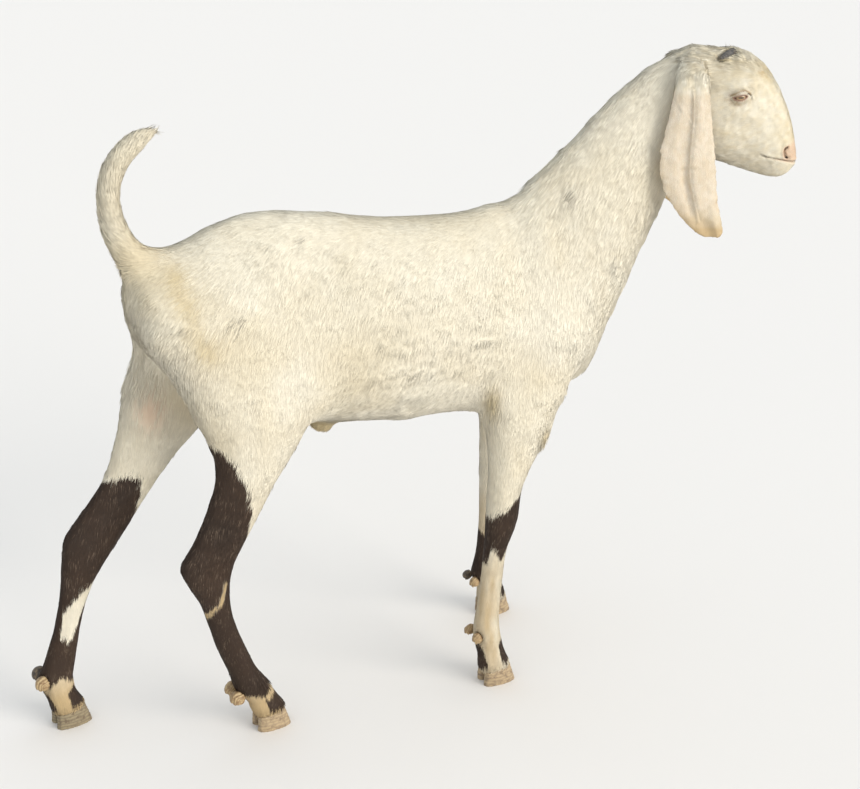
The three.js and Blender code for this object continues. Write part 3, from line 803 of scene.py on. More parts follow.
def face_skin(face, on_head):
    """Bare pink of the nose and lips; grey round the eye, with painted shade in the crease above it;
    and near-black: dark skin in the nostrils, with painted shade in them, in the mouth's slit and its
    corner notch, and in the ear's opening.
    """
    gap, reach = mouth_gap(face)
    nostril = path_distance(face, NOSTRIL)
    nose = np.linalg.norm((face - [197, 0, 887]) / [27, 44, 25], axis=1)
    nose = 0.9 * ramp(1.15, 0.65, nose + 0.12 * drift(from_head(face), 0.006, 15))
    lips = reach * bump(gap, 3.0) * ramp(140, 185, face[:, 0])
    eye_x, eye_z = from_eye(face)
    outside = -in_opening(eye_x, eye_z)
    near_eye = np.hypot(eye_x, eye_z) < NEAR_EYE
    rim = near_eye * ramp(3.4, 0.6, outside)
    pink = np.clip(np.maximum(nose, 0.6 * lips) + 0.3 * rim + 0.5 * ramp(8, 4, nostril), 0, 0.9)
    grey = 0.36 + 0.3 * ramp(4, -12, eye_x) + 0.2 * ramp(4, -6, eye_z)
    grey = near_eye * ramp(17, 3, outside) * grey
    grey = np.maximum(grey, 0.95 * rim)
    # painted shade in the crease above the eye, as grey skin
    fold = near_eye * bump(outside - 5.2 - 0.12 * eye_x, 1.5) * ramp(0, 5, eye_z)
    grey = np.maximum(grey, 0.8 * fold)
    # near-black: dark skin in the nostrils, with painted shade in them, along the mouth's slit, in the
    # notch at its corner and in the ear's opening, and a dark line down from the eye's front corner
    black = np.maximum(ramp(2.6, 1.6, nostril), 0.55 * reach * ramp(1.3, 0.5, np.abs(gap)))
    black = np.maximum(black, 0.9 * ramp(2.4, 0.8, path_distance(face, LIP_NOTCH)))
    black = np.maximum(black, 0.6 * ramp(1.9, 0.7, path_distance(face, TEAR_LINE)))
    ear_hole = ramp(7, 3, path_distance(face, [[38, -60, 1010], [42, -64, 996]]))
    black = np.maximum(black, ear_hole)
    return pink * on_head, grey * on_head, black * on_head


# ---- the lie of the coat ------------------------------------------------------------------------
TAIL_CENTRE = np.array([-390, 895])  # of the arc along which the tail curls
HAIR_WAYS = {
    "neck": [-0.6, 0, -0.8],
    "leg_upper": [-0.22, 0, -1],
    "leg_lower": [-0.05, 0, -1],
    "ear": [0, 0, -1],
}


def tangent(vectors, normals):
    return unit(vectors - (vectors * normals).sum(1, keepdims=True) * normals)


def lie_of_coat(mesh, region):
    """The way the hair points at each vertex, along the skin."""
    points, normals = points_of(mesh), normals_of(mesh)
    places = in_body(points)
    x = places[:, 0]
    top = ramp(0.35, 0.95, normals[:, 2])
    under = ramp(-0.35, -0.9, normals[:, 2])
    flat = np.zeros(len(points))
    back = -0.42 - 0.3 * ramp(-250, -400, x) + 0.2 * ramp(80, 200, x) - 0.9 * np.maximum(top, under)
    down = -1 + 0.9 * np.maximum(top, under)
    lie = np.stack([back, flat, down], 1)
    for part, way in HAIR_WAYS.items():
        lie[on(region, part)] = way
    tail = on(region, "tail")
    arm = places[tail][:, [0, 2]] - TAIL_CENTRE
    along = unit(np.stack([arm[:, 1], np.zeros(tail.sum()), -arm[:, 0]], 1))
    outward = unit(np.stack([arm[:, 0], np.zeros(tail.sum()), arm[:, 1]], 1))
    lie[tail] = along + 0.45 * outward
    head = on(region, "head")
    lie[head] = face_lie(in_head(points[head]), normals[head])
    lie = tangent(lie, normals)
    edges = edges_of(mesh)
    for _ in range(6):
        lie = tangent(spread(lie, edges, 0.5, 4), normals)
    return lie


def face_lie(places, normals):
    """On the face: up the bridge of the nose, back over the cheeks and away from the eyes."""
    forward, left, up = places.T
    side = ramp(0.3, 0.8, np.abs(normals @ ACROSS))
    crown = ramp(995, 1035, up)
    back = np.stack([-0.9 + 0 * forward, 0 * forward, -0.3 - 0.4 * ramp(60, 20, forward)], 1)
    bridge = np.stack([-0.45 - 0.5 * crown, 0 * forward, 0.9 - 1.0 * ramp(120, 60, forward)], 1)
    lie = bridge + (back - bridge) * (side * (1 - 0.6 * crown))[:, None]
    eye = np.stack([forward - EYE_FORWARD, 0 * forward, up - EYE_HEIGHT], 1)
    away = np.linalg.norm(eye, axis=1)
    near = bump(away, 18) * (np.abs(left) > 30)
    lie += 1.6 * near[:, None] * unit(eye)
    return lie @ HEAD_AXES


# ---- operator: the skin -------------------------------------------------------------------------
COAT_DEPTH = {  # how far the skin lies under the tips of the coat, in millimetres
    "trunk": 1.5,
    "neck": 1.7,
    "head": 1.1,
    "tail": 4.8,
    "ear": 0.5,
    "leg_upper": 1.5,
    "leg_lower": 1.2,
}
CORONET = 44  # the level at which the skin comes out to meet the hooves


def coat_depth(points, region):
    """How far each vertex of the skin is to lie under the tips of the coat, in millimetres."""
    depth = by_part(COAT_DEPTH, region)
    return depth - (depth + 0.6) * ramp(CORONET + 14, CORONET - 4, points[:, 2] / MM)


def build_skin(settings):
    """One skin from all the flesh: remeshed whole, evened out and sunk by the depth of the coat."""
    places, faces, _ = joined_flesh(0.4 * MM)
    mesh = bpy.data.meshes.new("skin")
    mesh.from_pydata([tuple(p) for p in places], [], faces)
    skin = new_object("skin", mesh)
    apply_modifier(skin, "REMESH", mode="VOXEL", voxel_size=settings.grain, adaptivity=0)
    flesh = Flesh()
    region, _ = flesh.nearest(points_of(skin.data))
    fine = fine_share(skin.data, region)
    group = skin.vertex_groups.new(name="broad")
    for level in range(11):
        chosen = np.nonzero(np.round((1 - fine) * 10) == level)[0]
        group.add([int(i) for i in chosen], level / 10, "REPLACE")
    apply_modifier(skin, "DECIMATE", ratio=settings.kept, vertex_group="broad")
    skin.vertex_groups.clear()
    even_out(skin.data, flesh)
    for reach in (1.0, 0.6):
        close = near_features(in_head(points_of(skin.data)), reach)
        refined(skin.data, close)
        close = near_features(in_head(points_of(skin.data)), reach)
        edges = edges_of(skin.data)
        place_points(skin.data, smoothed(points_of(skin.data), edges, 0.5 * close, 3))
    region, _ = flesh.nearest(points_of(skin.data))
    profile = leg_profile(points_of(skin.data), region)
    shape_body(skin.data, region, leg_places(points_of(skin.data), region, profile))
    shape_ears(skin.data, region)
    shape_face(skin.data)
    dress_skin(skin.data, region, profile)
    return skin


def fine_share(mesh, region):
    """1 where the skin keeps its small faces, on the head and feet, down to 0 on the broad body."""
    head = on(region, "head") * 1.0
    ears = on(region, "ear") * 0.85
    feet = (points_of(mesh)[:, 2] < 0.1) * 0.8
    return spread(np.maximum(np.maximum(head, ears), feet), edges_of(mesh), 0.5, 8)[:, 0]


def even_out(mesh, flesh):
    """Takes off the solids' flat facets, then sets the skin at its depth under the coat."""
    edges = edges_of(mesh)
    points = points_of(mesh)
    region, _ = flesh.nearest(points)
    fine = fine_share(mesh, region)
    body = spread(on(region, "trunk", "neck") * 1.0, edges, 0.5, 6)[:, 0]
    points = spread(points, edges, 0.6 * (1 - fine), 14)
    points = spread(points, edges, 0.6 * body * (1 - fine), 10)
    points = smoothed(points, edges, 0.55 * fine, 7)
    place_points(mesh, points)
    region, outside = flesh.nearest(points)
    push = -coat_depth(points, region) * MM - outside
    push = spread(spread(push, edges, 0.5, 12), edges, 0.5 * body * (1 - fine), 36)
    points = points + normals_of(mesh) * push
    points = spread(points, edges, 0.7 * joint_share(region, edges), 60)
    ear = on(region, "ear") * 1.0
    points = spread(points, edges, 0.5 * ear, 5)
    sheath = ramp(0.2, 0.6, mound(in_body(points), [-172, 0, 488], [28, 28, 24]))
    points = spread(points, edges, 0.5 * sheath, 16)
    place_points(mesh, spread(points, edges, 0.5 * ear * ramp(850, 815, points[:, 2] / MM), 14))


def joint_share(region, edges):
    """1 along the lines where the neck and the limbs leave the trunk, fading out round them."""
    first, second = region[edges].T
    trunk = REGION["trunk"]
    crossing = (first != second) & ((first == trunk) | (second == trunk))
    share = np.zeros(len(region))
    share[edges[crossing].ravel()] = 1.0
    neck = spread((share > 0) * 1.0, edges, 0.5, 24)[:, 0]
    return np.clip(neck * 5, 0, 1)


def near_features(places, reach):
    """Where the face needs the smallest faces: round the eyes, the nostrils and the lips."""
    face = mirror_right(places)
    eye = eye_distance(face) < 34 * reach
    nostril = path_distance(face, NOSTRIL) < 14 * reach
    gap, along = mouth_gap(face)
    lips = (np.abs(gap) < 8 * reach) & (along > 0) & (face[:, 2] > 840)
    ear = np.minimum(path_distance(face, EAR_RIDGE), path_distance(face, EAR_VALLEY)) < 16 * reach - 6
    return eye | nostril | lips | ear


def dress_skin(mesh, region, profile):
    """Leaves on the skin what the coat and the materials need to know."""
    points = points_of(mesh)
    leg = leg_places(points, region, profile)
    hair, bare = marks(points, region, leg)
    set_values(mesh, "region", "INT", region)
    set_values(mesh, "leg_place", "FLOAT_VECTOR", leg)
    set_values(mesh, "lie", "FLOAT_VECTOR", lie_of_coat(mesh, region))
    set_values(mesh, "hair", "FLOAT_COLOR", with_alpha(hair))
    set_values(mesh, "bare", "FLOAT_COLOR", with_alpha(bare))


# ---- the coat -----------------------------------------------------------------------------------
COAT = {  # length and width of a tuft in millimetres, its lift in degrees, and its cover
    "trunk": (20, 0.8, 3.1, 1.56),
    "neck": (20, 0.82, 3.8, 1.45),
    "head": (8.5, 0.55, 4, 1.35),
    "tail": (21, 0.9, 9, 2.2),
    "ear": (4.5, 0.4, 2.5, 0.32),
    "leg_upper": (14, 0.8, 3.3, 1.35),
    "leg_lower": (8.5, 0.7, 5.5, 1.4),
}
LONGER = [  # centre, radii, added length and lift: in the body's axes, both sides
    ([-440, -60, 620], [60, 80, 90], 14, 12),  # back of the thigh
    ([-470, 0, 720], [40, 70, 50], 12, 10),
    ([182, -100, 472], [20, 60, 22], 14, 22),  # front of the forearm
    ([78, -98, 535], [20, 60, 40], 12, 12),  # elbow
    ([-172, 0, 488], [22, 24, 18], -9, 8),  # sheath
    ([-60, 0, 492], [160, 40, 24], 6, 6),  # underline
    ([-300, -60, 98], [16, 40, 14], 12, 26),  # front of the near hind fetlock
]
FACE_LONGER = [  # the same, in the head's axes
    ([50, 0, 1052], [40, 60, 20], 10, 7),  # poll
    ([86, -26, 1046], [16, 24, 20], 15, 8),  # forelock, over the horn stubs
    ([20, -44, 1032], [30, 26, 26], 15, 7),  # root of the ear
    ([54, -56, 1014], [14, 16, 22], 13, 14),  # fringe in front of the ear hole
    ([70, 0, 870], [60, 60, 20], 5, 6),  # under the jaw
    ([110, -30, 1036], [30, 30, 16], 4, 10),  # forehead
]


HORN_GAP = 0.0004  # no tuft grows nearer to a horn than this


def coat_plan(mesh, region):
    """For every vertex: length, width, lift and cover of the tufts that grow there."""
    points, normals = points_of(mesh), normals_of(mesh)
    plan = spread(by_part(COAT, region), edges_of(mesh), 0.5, 6)
    body = mirror_right(in_body(points))
    face = mirror_right(in_head(points))
    on_head = on(region, "head", "ear")
    for rows, places, share in ((LONGER, body, 1), (FACE_LONGER, face, on_head)):
        for centre, radii, longer, lift in rows:
            plan[:, [0, 2]] += (share * mound(places, centre, radii))[:, None] * [longer, lift]
    crest = on(region, "neck") * ramp(0.2, 0.8, normals[:, 2])
    plan[:, 0] += 7 * crest
    outer = on(region, "tail") * ramp(0.1, 0.9, -normals[:, 0])
    plan[:, [0, 2]] += 4 * outer[:, None]
    leg = get_values(mesh, "leg_place", "FLOAT_VECTOR")
    on_leg = leg[:, 2] > 0
    fetlock = on_leg * bump(leg[:, 2] - 92, 22) * ramp(-0.3, -0.8, leg[:, 0])
    coronet = on_leg * ramp(56, 42, leg[:, 2])
    plan[:, 0] += 8 * fetlock + 6 * coronet
    plan[:, 2] += 12 * fetlock + 4 * coronet
    muzzle = on_head * ramp(120, 190, face[:, 0])
    eye = eye_distance(face)
    small = np.maximum(0.55 * muzzle, 0.5 * on_head * ramp(34, 14, eye))
    plan[:, :2] *= (1 - small)[:, None] ** [1.0, 0.5]
    plan[:, 0] *= 1 - 0.75 * on_head * ramp(8, 2, path_distance(face, TEAR_LINE))
    plan[:, 0] *= 1 - 0.6 * on_head * ramp(9, 3, path_distance(face, NOSTRIL))
    bare = get_values(mesh, "bare", "FLOAT_COLOR")
    opening = in_opening(*from_eye(face))
    lids = on_head & (eye < 22) & (opening > -1.8)
    not_ear = ~on(region, "ear")
    plan[:, 3] *= 1 - 0.92 * not_ear * ramp(0.12, 0.5, bare[:, 0])
    plan[:, 3] *= ramp(0.5, 0.2, bare[:, 2]) * ~lids
    plan[~not_ear, 3] *= ramp(0.25, 0.7, np.abs(normals[~not_ear] @ ACROSS))
    trees = [BVHTree.FromBMesh(merged_copy("horn_" + side)) for side in SIDES]
    for i in np.nonzero(on_head & (face[:, 2] > 1020))[0]:
        if min(tree.find_nearest(points[i])[3] for tree in trees) < HORN_GAP:
            plan[i, 3] = 0
    thin = on(region, "upper_hind_left") * mound(in_body(points), *THIN_HAIR)
    plan[:, 3] *= (1 - 0.6 * thin) * ramp(0.022, 0.03, points[:, 2])
    return plan


MOST_FACES = 199_000  # in one coat piece
LONG = 30  # millimetres; longer tufts are fuller locks
UPRIGHT = (0, 0, 1)
PIECES = {}  # each coat piece: its nodes, its side or 0, the way it runs, and its reach along the body
for part, node, way in (("face", "head", (0.5, 0, -0.87)), ("neck", "neck", (0.6, 0, 0.8))):
    for side_name, side in SIDES.items():
        PIECES[f"coat_{part}_{side_name}"] = ([node], side, way, None)
for side_name in SIDES:
    PIECES["coat_ear_" + side_name] = (["ear_" + side_name], 0, UPRIGHT, None)
PIECES["coat_tail"] = (["tail_base", "tail_tip"], 0, (0.3, 0, 0.95), None)
for side_name, side in SIDES.items():
    for part, span in (("rump", (-600, -230)), ("barrel", (-230, 40)), ("shoulder", (40, 400))):
        PIECES[f"coat_{part}_{side_name}"] = (["trunk"], side, (1, 0, 0), span)
for leg_name in LEGS:
    for part in ("upper", "lower"):
        PIECES[f"coat_leg_{part}_{leg_name}"] = ([f"leg_{part}_{leg_name}"], 0, UPRIGHT, None)


def unwrapped(roots, own, way):
    """Each root's place on the skin unrolled: along the limb, and round it from its middle line."""
    way = unit(np.array(way, float))
    left = np.array([0.0, 1.0, 0.0])
    over = np.cross(left, way)
    along = own @ way
    stations = np.linspace(along.min(), along.max(), 24)
    middles = np.array(
        [own[np.abs(along - s) < (stations[1] - stations[0]) * 1.2].mean(0) @ np.stack([left, over], 1)
         for s in stations]
    )
    at = roots @ way
    beside = roots @ left - np.interp(at, stations, middles[:, 0])
    above = roots @ over - np.interp(at, stations, middles[:, 1])
    place = np.stack([at, np.arctan2(beside, above)], 1)
    low, high = place.min(0), place.max(0)
    return 0.01 + 0.975 * (place - low) / (high - low)


LEAF = [(0.0, 0.0), (-0.5, 0.36), (0.5, 0.36), (0.0, 1.0)]  # across and along, from root to tip
LEAF_FACES = [(0, 1, 2), (1, 3, 2), (0, 3, 1), (0, 2, 3)]
LOCK_STATIONS = [(0.24, 1.0), (0.66, 0.75)]  # along a lock, and its share of the width
LOCK_RINGS = [(-0.5, 0.0), (0.5, 0.0), (0.0, 0.12)]
PATCH = 0.003  # how much of the bake map a tuft takes
NEAR_SKIN = 0.004  # within this, a tuft's tip follows the skin
CLUMPS = {  # swing of lift, swing of tone, and size
    "head": (0.8, 0.55, 0.0055),
    "neck": (0.7, 0.36, 0.009),
    "rest": (0.35, 0.22, 0.011),
}
SOFTENING = 0.92  # how far a tuft takes the light as the skin under it would
LIFTED = (12, 24)  # degrees of lift from which, and to which, it stops doing so
STEEPEST = 19  # degrees
ROOT_DEPTH = 0.0005  # of a tuft, under the skin
LOCK_SOFTENING = 0.3  # of a long lock, as a share of a tuft's
LEAST_FACING = 0.35  # below this share of a tuft's own facing, a softened normal is turned back to it
TURN_BACK = 1.4  # and by how much


def lock_faces():
    """A closed lock: a root, two rings of three corners and a tip."""
    faces = []
    for i in range(3):
        j = (i + 1) % 3
        faces += [(0, 1 + j, 1 + i), (1 + i, 1 + j, 4 + j), (1 + i, 4 + j, 4 + i), (4 + i, 4 + j, 7)]
    return faces


def followed(skin, root, normal, lie, length, lift):
    """How each tip must move to follow the skin, how the skin faces under it, and if it is near."""
    tree, corners, normals = skin
    reach = root + lie * (length * np.cos(lift))[:, None]
    bend = np.zeros_like(root)
    under = np.empty(len(root), int)
    for i, place in enumerate(reach):
        spot, facing, under[i], _ = tree.find_nearest(place)
        away = (Vector(place) - spot).dot(facing)
        bend[i] = facing * -away
    size = np.linalg.norm(bend, axis=1)
    near = ramp(NEAR_SKIN * 2, NEAR_SKIN, size)[:, None]
    tip_normal = unit(normals[corners[under]].mean(1))
    return bend * near, unit(normal + (tip_normal - normal) * near), near[:, 0]


def softened(own, facing, top, share):
    """Shading normals part way from the tufts' own to the skin's, but never turned off the tufts."""
    soft = unit(own + (facing - own) * share[:, None])
    short = np.maximum(LEAST_FACING - (soft * top).sum(1), 0) * (share > 0.3)
    return unit(soft + TURN_BACK * short[:, None] * top)


def tufts(root, normal, lie, length, width, lift, bend, long):
    """Closed pointed tufts that rise from a root under the skin and bend back along it."""
    beside = np.cross(normal, lie)
    lift = lift[:, None]

    def at(along, across, high):
        rise = np.sin(lift) * along * (1 - 0.35 * along)
        place = root + length[:, None] * (lie * along * np.cos(lift) + normal * rise) + bend * along**2
        return place + width[:, None] * (across * beside + high * normal)

    if long:
        flat = [(0.0, 0.0)]
        flat += [(x * share, t + up) for t, share in LOCK_STATIONS for x, up in LOCK_RINGS]
        flat.append((0.0, 1.0))
        heights = [0, 0, 0, 0.42, 0, 0, 0.32, 0]
        faces = lock_faces()
    else:
        flat, heights, faces = LEAF, [0, 0.3, 0.3, 0], LEAF_FACES
    columns = [at(t, x, high) for (x, t), high in zip(flat, heights)]
    columns[0] = root - normal * ROOT_DEPTH
    places = np.stack(columns, 1).reshape(-1, 3)
    steps = np.arange(len(root))[:, None, None] * len(columns)
    return places, (np.array(faces)[None] + steps).reshape(-1, 3), np.array(flat)


def in_piece(piece, points, triangles):
    """Marks the faces on a coat piece's side of the middle line and inside its reach."""
    nodes, side, _, reach = PIECES[piece]
    inside = np.ones(len(triangles), bool)
    if side:
        across = in_head(points) if nodes == ["head"] else in_body(points)
        inside &= np.sign(across[triangles].mean(1)[:, 1]) == side
    if reach:
        along = in_body(points)[triangles].mean(1)[:, 0]
        inside &= (along >= reach[0]) & (along < reach[1])
    return inside


def scattered(wanted, rng):
    """Faces picked evenly by how much each wants, and a random share of each corner in them."""
    total = np.cumsum(wanted)
    count = int(total[-1])
    face = np.searchsorted(total, (np.arange(count) + rng.random(count)) * total[-1] / count)
    share = rng.random((count, 2))
    share = np.where(share.sum(1, keepdims=True) > 1, 1 - share, share)
    share = np.hstack([1 - share.sum(1, keepdims=True), share])
    return np.minimum(face, len(wanted) - 1), share[:, :, None]


def grow(piece, skin_mesh, skin, plan, region, rng, settings):
    """Grows one coat piece from the skin's faces."""
    nodes, _, way, _ = PIECES[piece]
    points, normals = points_of(skin_mesh), normals_of(skin_mesh)
    triangles = triangles_of(skin_mesh)
    lie = get_values(skin_mesh, "lie", "FLOAT_VECTOR").astype(float)
    leg = get_values(skin_mesh, "leg_place", "FLOAT_VECTOR").astype(float)
    owner = region[triangles[:, 0]]
    mine = np.isin(owner, [REGION[name] for name in nodes])
    own_points = points[np.unique(triangles[mine])]
    mine &= in_piece(piece, points, triangles)
    chosen, owner = triangles[mine], owner[mine]
    corner = points[chosen]
    facets = np.cross(corner[:, 1] - corner[:, 0], corner[:, 2] - corner[:, 0])
    area = np.linalg.norm(facets, axis=1) / 2
    here = plan[chosen].mean(1)
    wanted = area / MM**2 * settings.cover * here[:, 3] / (0.5 * here[:, 0] * here[:, 1])
    face, share = scattered(wanted, rng)
    count, at = len(face), chosen[face]
    root = (points[at] * share).sum(1)
    normal = unit((normals[at] * share).sum(1))
    grown = (plan[at] * share).sum(1)
    leg_place = (leg[at] * share).sum(1)
    hair, _ = marks(root, owner[face], leg_place)
    length = grown[:, 0] * MM * settings.length * (0.7 + 0.6 * rng.random(count))
    width = grown[:, 1] * MM * (0.8 + 0.4 * rng.random(count))
    stray = drift(root, 0.022, 21) * 0.20 + drift(root, 0.008, 22) * 0.12
    stray = stray + 0.07 * rng.standard_normal(count)
    way_in = unit((lie[at] * share).sum(1))
    way_in = tangent(way_in + np.cross(normal, way_in) * stray[:, None], normal)
    swing, shade, size = CLUMPS.get(nodes[0], CLUMPS["rest"])
    lock = drift(root, size, 23)
    lift = grown[:, 2] * (0.75 + swing * lock + 0.35 * rng.random(count))
    lift = np.radians(np.minimum(lift, STEEPEST))
    soft = SOFTENING * ramp(LIFTED[1], LIFTED[0], np.degrees(lift))
    dip = np.arcsin(np.clip(-(way_in * unit(facets)[face]).sum(1), -0.3, 0.3))
    lift = np.maximum(lift, dip + 0.65 * lift)
    tone = np.clip(0.5 + shade * lock + 0.16 * rng.standard_normal(count), 0, 1)
    bend, tip_normal, near = followed(skin, root, normal, way_in, length, lift)
    length *= 0.55 + 0.45 * near
    place = unwrapped(root, own_points, way)
    parts = []
    for long in (False, True):
        own = (length > LONG * MM * settings.length) == long
        if not own.any():
            continue
        growth = (values[own] for values in (root, normal, way_in, length, width, lift, bend))
        places, faces, flat = tufts(*growth, long)
        each = len(flat)
        faces = faces + sum(len(part[0]) for part in parts)
        spots = (place[own][:, None] + flat[None] * [PATCH, PATCH]).reshape(-1, 2)
        strand = np.empty((own.sum(), each, 4))
        strand[:, :, 0] = tone[own][:, None]
        strand[:, :, 1] = flat[None, :, 1]
        strand[:, :, 2] = rng.random(own.sum())[:, None]
        strand[:, :, 3] = 1
        colour = np.repeat(with_alpha(hair[own]), each, 0)
        turn = (tip_normal - normal)[own][:, None]
        facing = unit((normal[own][:, None] + flat[None, :, 1:] * turn).reshape(-1, 3))
        along = way_in[own] * length[own][:, None] + bend[own]
        top = np.repeat(unit(np.cross(along, np.cross(normal[own], way_in[own]))), each, 0)
        share = soft[own] * (LOCK_SOFTENING if long else 1.0)
        share = np.repeat(share, each)
        parts.append((places, faces, spots, strand.reshape(-1, 4), colour, facing, top, share))
    places, faces, spots, strand, colour, facing, top, share = map(np.concatenate, zip(*parts))
    mesh = mesh_from(piece, places, faces)
    facing = softened(normals_of(mesh), facing, top, share)
    set_values(mesh, "custom_normal", "FLOAT_VECTOR", facing)
    set_map(mesh, "OFBake", spots, faces)
    set_values(mesh, "strand", "FLOAT_COLOR", strand)
    set_values(mesh, "hair", "FLOAT_COLOR", colour)
    return new_object(piece, mesh)


# ---- eyes, lids and lashes ----------------------------------------------------------------------
CORNEA = {"rise": 1.0, "half": 8.5}
IRIS_HALF = 8.2  # millimetres from the middle of the eye
EYE_TURNS = 48
EYE_ROWS = 32
EYE_LIMIT = math.asin(IRIS_HALF / EYE_RADIUS) / math.pi / 2  # the iris's edge on the gaze map
RIM_STEPS = 72
RIM_CORNERS = 10
RIM_OUT = 0.5  # how far the middle of the lid's rim stands off the eyeball
UPPER_LASHES = 34
LOWER_LASHES = 12


def ring_faces(rings, turns, first=0, closed=False):
    """Triangles between rings of points that follow one another; a closed run meets its start."""
    faces = []
    for r in range(rings if closed else rings - 1):
        here, there = first + r * turns, first + (r + 1) % rings * turns
        for k in range(turns):
            after = (k + 1) % turns
            faces += [(here + k, there + k, there + after), (here + k, there + after, here + after)]
    return faces


def eyeball(side):
    """An eyeball with a slight cornea, and a map whose middle is where it looks."""
    row, turn = np.meshgrid(np.arange(1, EYE_ROWS), np.arange(EYE_TURNS), indexing="ij")
    polar = row.ravel() * math.pi / EYE_ROWS
    around = turn.ravel() * 2 * math.pi / EYE_TURNS
    across = np.concatenate([[0.0], np.sin(polar), [0.0]])
    out = np.concatenate([[1.0], np.cos(polar), [-1.0]])
    forward = across * np.cos(np.concatenate([[0.0], around, [0.0]]))
    up = across * np.sin(np.concatenate([[0.0], around, [0.0]]))
    cornea = np.exp(-((across * EYE_RADIUS / CORNEA["half"]) ** 4)) * (out > 0)
    radius = EYE_RADIUS + CORNEA["rise"] * cornea
    places = at_eye(side, radius * forward, radius * out, radius * up)
    last = len(places) - 1
    faces = ring_faces(EYE_ROWS - 1, EYE_TURNS, 1)
    for k in range(EYE_TURNS):
        after = (k + 1) % EYE_TURNS
        faces += [(0, 1 + k, 1 + after), (last, last - EYE_TURNS + after, last - EYE_TURNS + k)]
    faces = np.array(faces)[:, :: -SIDES[side]]
    mesh = mesh_from("eyeball_" + side, places, faces)
    reach = np.arccos(np.clip(out, -1, 1)) / math.pi
    share = reach / np.maximum(across, 1e-9)
    spots = 0.5 + 0.5 * np.stack([forward * share, up * share], 1)
    spots[last] = (0.999, 0.5)
    set_map(mesh, "gaze", spots, faces)
    return new_object("eyeball_" + side, mesh)


def lid_rim(side):
    """The wet edge of both lids: a thin rounded rim that follows the opening over the eyeball."""
    turn = np.arange(RIM_STEPS) * 2 * math.pi / RIM_STEPS
    forward = LID_HALF * np.cos(turn)
    upper, lower = lid_edges(forward)
    up = np.where(np.sin(turn) >= 0, upper, lower)
    across = np.hypot(forward, up)
    out = np.sqrt(np.maximum((EYE_RADIUS + RIM_OUT) ** 2 - across**2, 0))
    path = np.stack([forward, out, up], 1)
    run = unit(np.roll(path, -1, 0) - np.roll(path, 1, 0))
    outward = unit(path)
    beside = np.cross(run, outward)
    round_turn = np.arange(RIM_CORNERS) * 2 * math.pi / RIM_CORNERS
    thick = 0.75 + 0.2 * (np.sin(turn) > 0)
    rings = path[:, None] + thick[:, None, None] * (
        np.cos(round_turn)[None, :, None] * beside[:, None] * 1.1
        + np.sin(round_turn)[None, :, None] * outward[:, None]
    )
    faces = np.array(ring_faces(RIM_STEPS, RIM_CORNERS, closed=True))
    mesh = mesh_from("lid_rim_" + side, at_eye(side, *rings.reshape(-1, 3).T), faces)
    with opened(mesh) as made:
        bmesh.ops.recalc_face_normals(made, faces=made.faces)
    return new_object("lid_rim_" + side, mesh)


def bristle_tree():
    """A node tree that stands a tapering hair on every vertex, along its own `aim`."""
    inputs = {
        "Geometry": ("Geometry", None),
        "Thickness": ("Float", 0.0002),
        "Uneven": ("Float", 0.3),
        "Seed": ("Int", 7),
        "Material": ("Material", None),
    }
    tree, given = new_group("Bristles", inputs, {"Geometry": "Geometry"}, "GeometryNodeTree")
    tree.is_modifier = True
    shape = {"Vertices": 4, "Radius Top": 0.0, "Radius Bottom": given["Thickness"], "Depth": 1.0}
    cone = put(tree, "GeometryNodeMeshCone", shape, fill_type="TRIANGLE_FAN")
    named = {"Name": "aim"}
    aim = put(tree, "GeometryNodeInputNamedAttribute", named, data_type="FLOAT_VECTOR").outputs[0]
    turn = put(tree, "FunctionNodeAlignRotationToVector", {"Vector": aim}, axis="Z")
    chance = put(tree, "FunctionNodeRandomValue", {"Seed": given["Seed"]}, data_type="FLOAT").outputs[1]
    shorter = computed(tree, "SUBTRACT", 1.0, computed(tree, "MULTIPLY", chance, given["Uneven"]))
    tall = computed(tree, "MULTIPLY", vector(tree, "LENGTH", aim)["Value"], shorter)
    size = put(tree, "ShaderNodeCombineXYZ", {0: 1.0, 1: 1.0, 2: tall}).outputs[0]
    stood = put(tree, "GeometryNodeInstanceOnPoints", {
        "Points": given["Geometry"], "Instance": cone.outputs["Mesh"],
        "Rotation": turn.outputs[0], "Scale": size})
    real = put(tree, "GeometryNodeRealizeInstances", {"Geometry": stood.outputs[0]})
    finish = {"Geometry": real.outputs[0], "Material": given["Material"]}
    painted = put(tree, "GeometryNodeSetMaterial", finish)
    put(tree, "NodeGroupOutput", {"Geometry": painted.outputs[0]})
    return tree


def lash_line(side):
    """Roots and aims of the lashes of one eye, in metres: along the upper lid, thinner below."""
    over, below = np.linspace(-0.85, 0.9, UPPER_LASHES), np.linspace(-0.6, 0.6, LOWER_LASHES)
    forward = np.concatenate([over, below]) * LID_HALF
    upper, lower = lid_edges(forward)
    over = np.arange(len(forward)) < UPPER_LASHES
    up = np.where(over, upper + 0.9, lower - 0.9)
    out = np.sqrt(np.maximum((EYE_RADIUS + 1.0) ** 2 - forward**2 - up**2, 0))
    tilt = np.where(over, 0.25, -0.5)
    aim = np.stack([forward / LID_HALF * 0.5 + 0.1, SIDES[side] * np.ones(len(forward)), tilt], 1)
    length = np.where(over, 8.5, 3.5) * MM
    return at_eye(side, forward, out, up), unit(aim) @ HEAD_AXES * length[:, None]


WHISKERS = [  # centre, radius, number and length: on the upper lip, the chin and over the eye
    ([172, 34, 884], 15, 11, 20),
    ([166, 24, 862], 15, 10, 16),
    ([110, 52, 1004], 9, 5, 16),
]


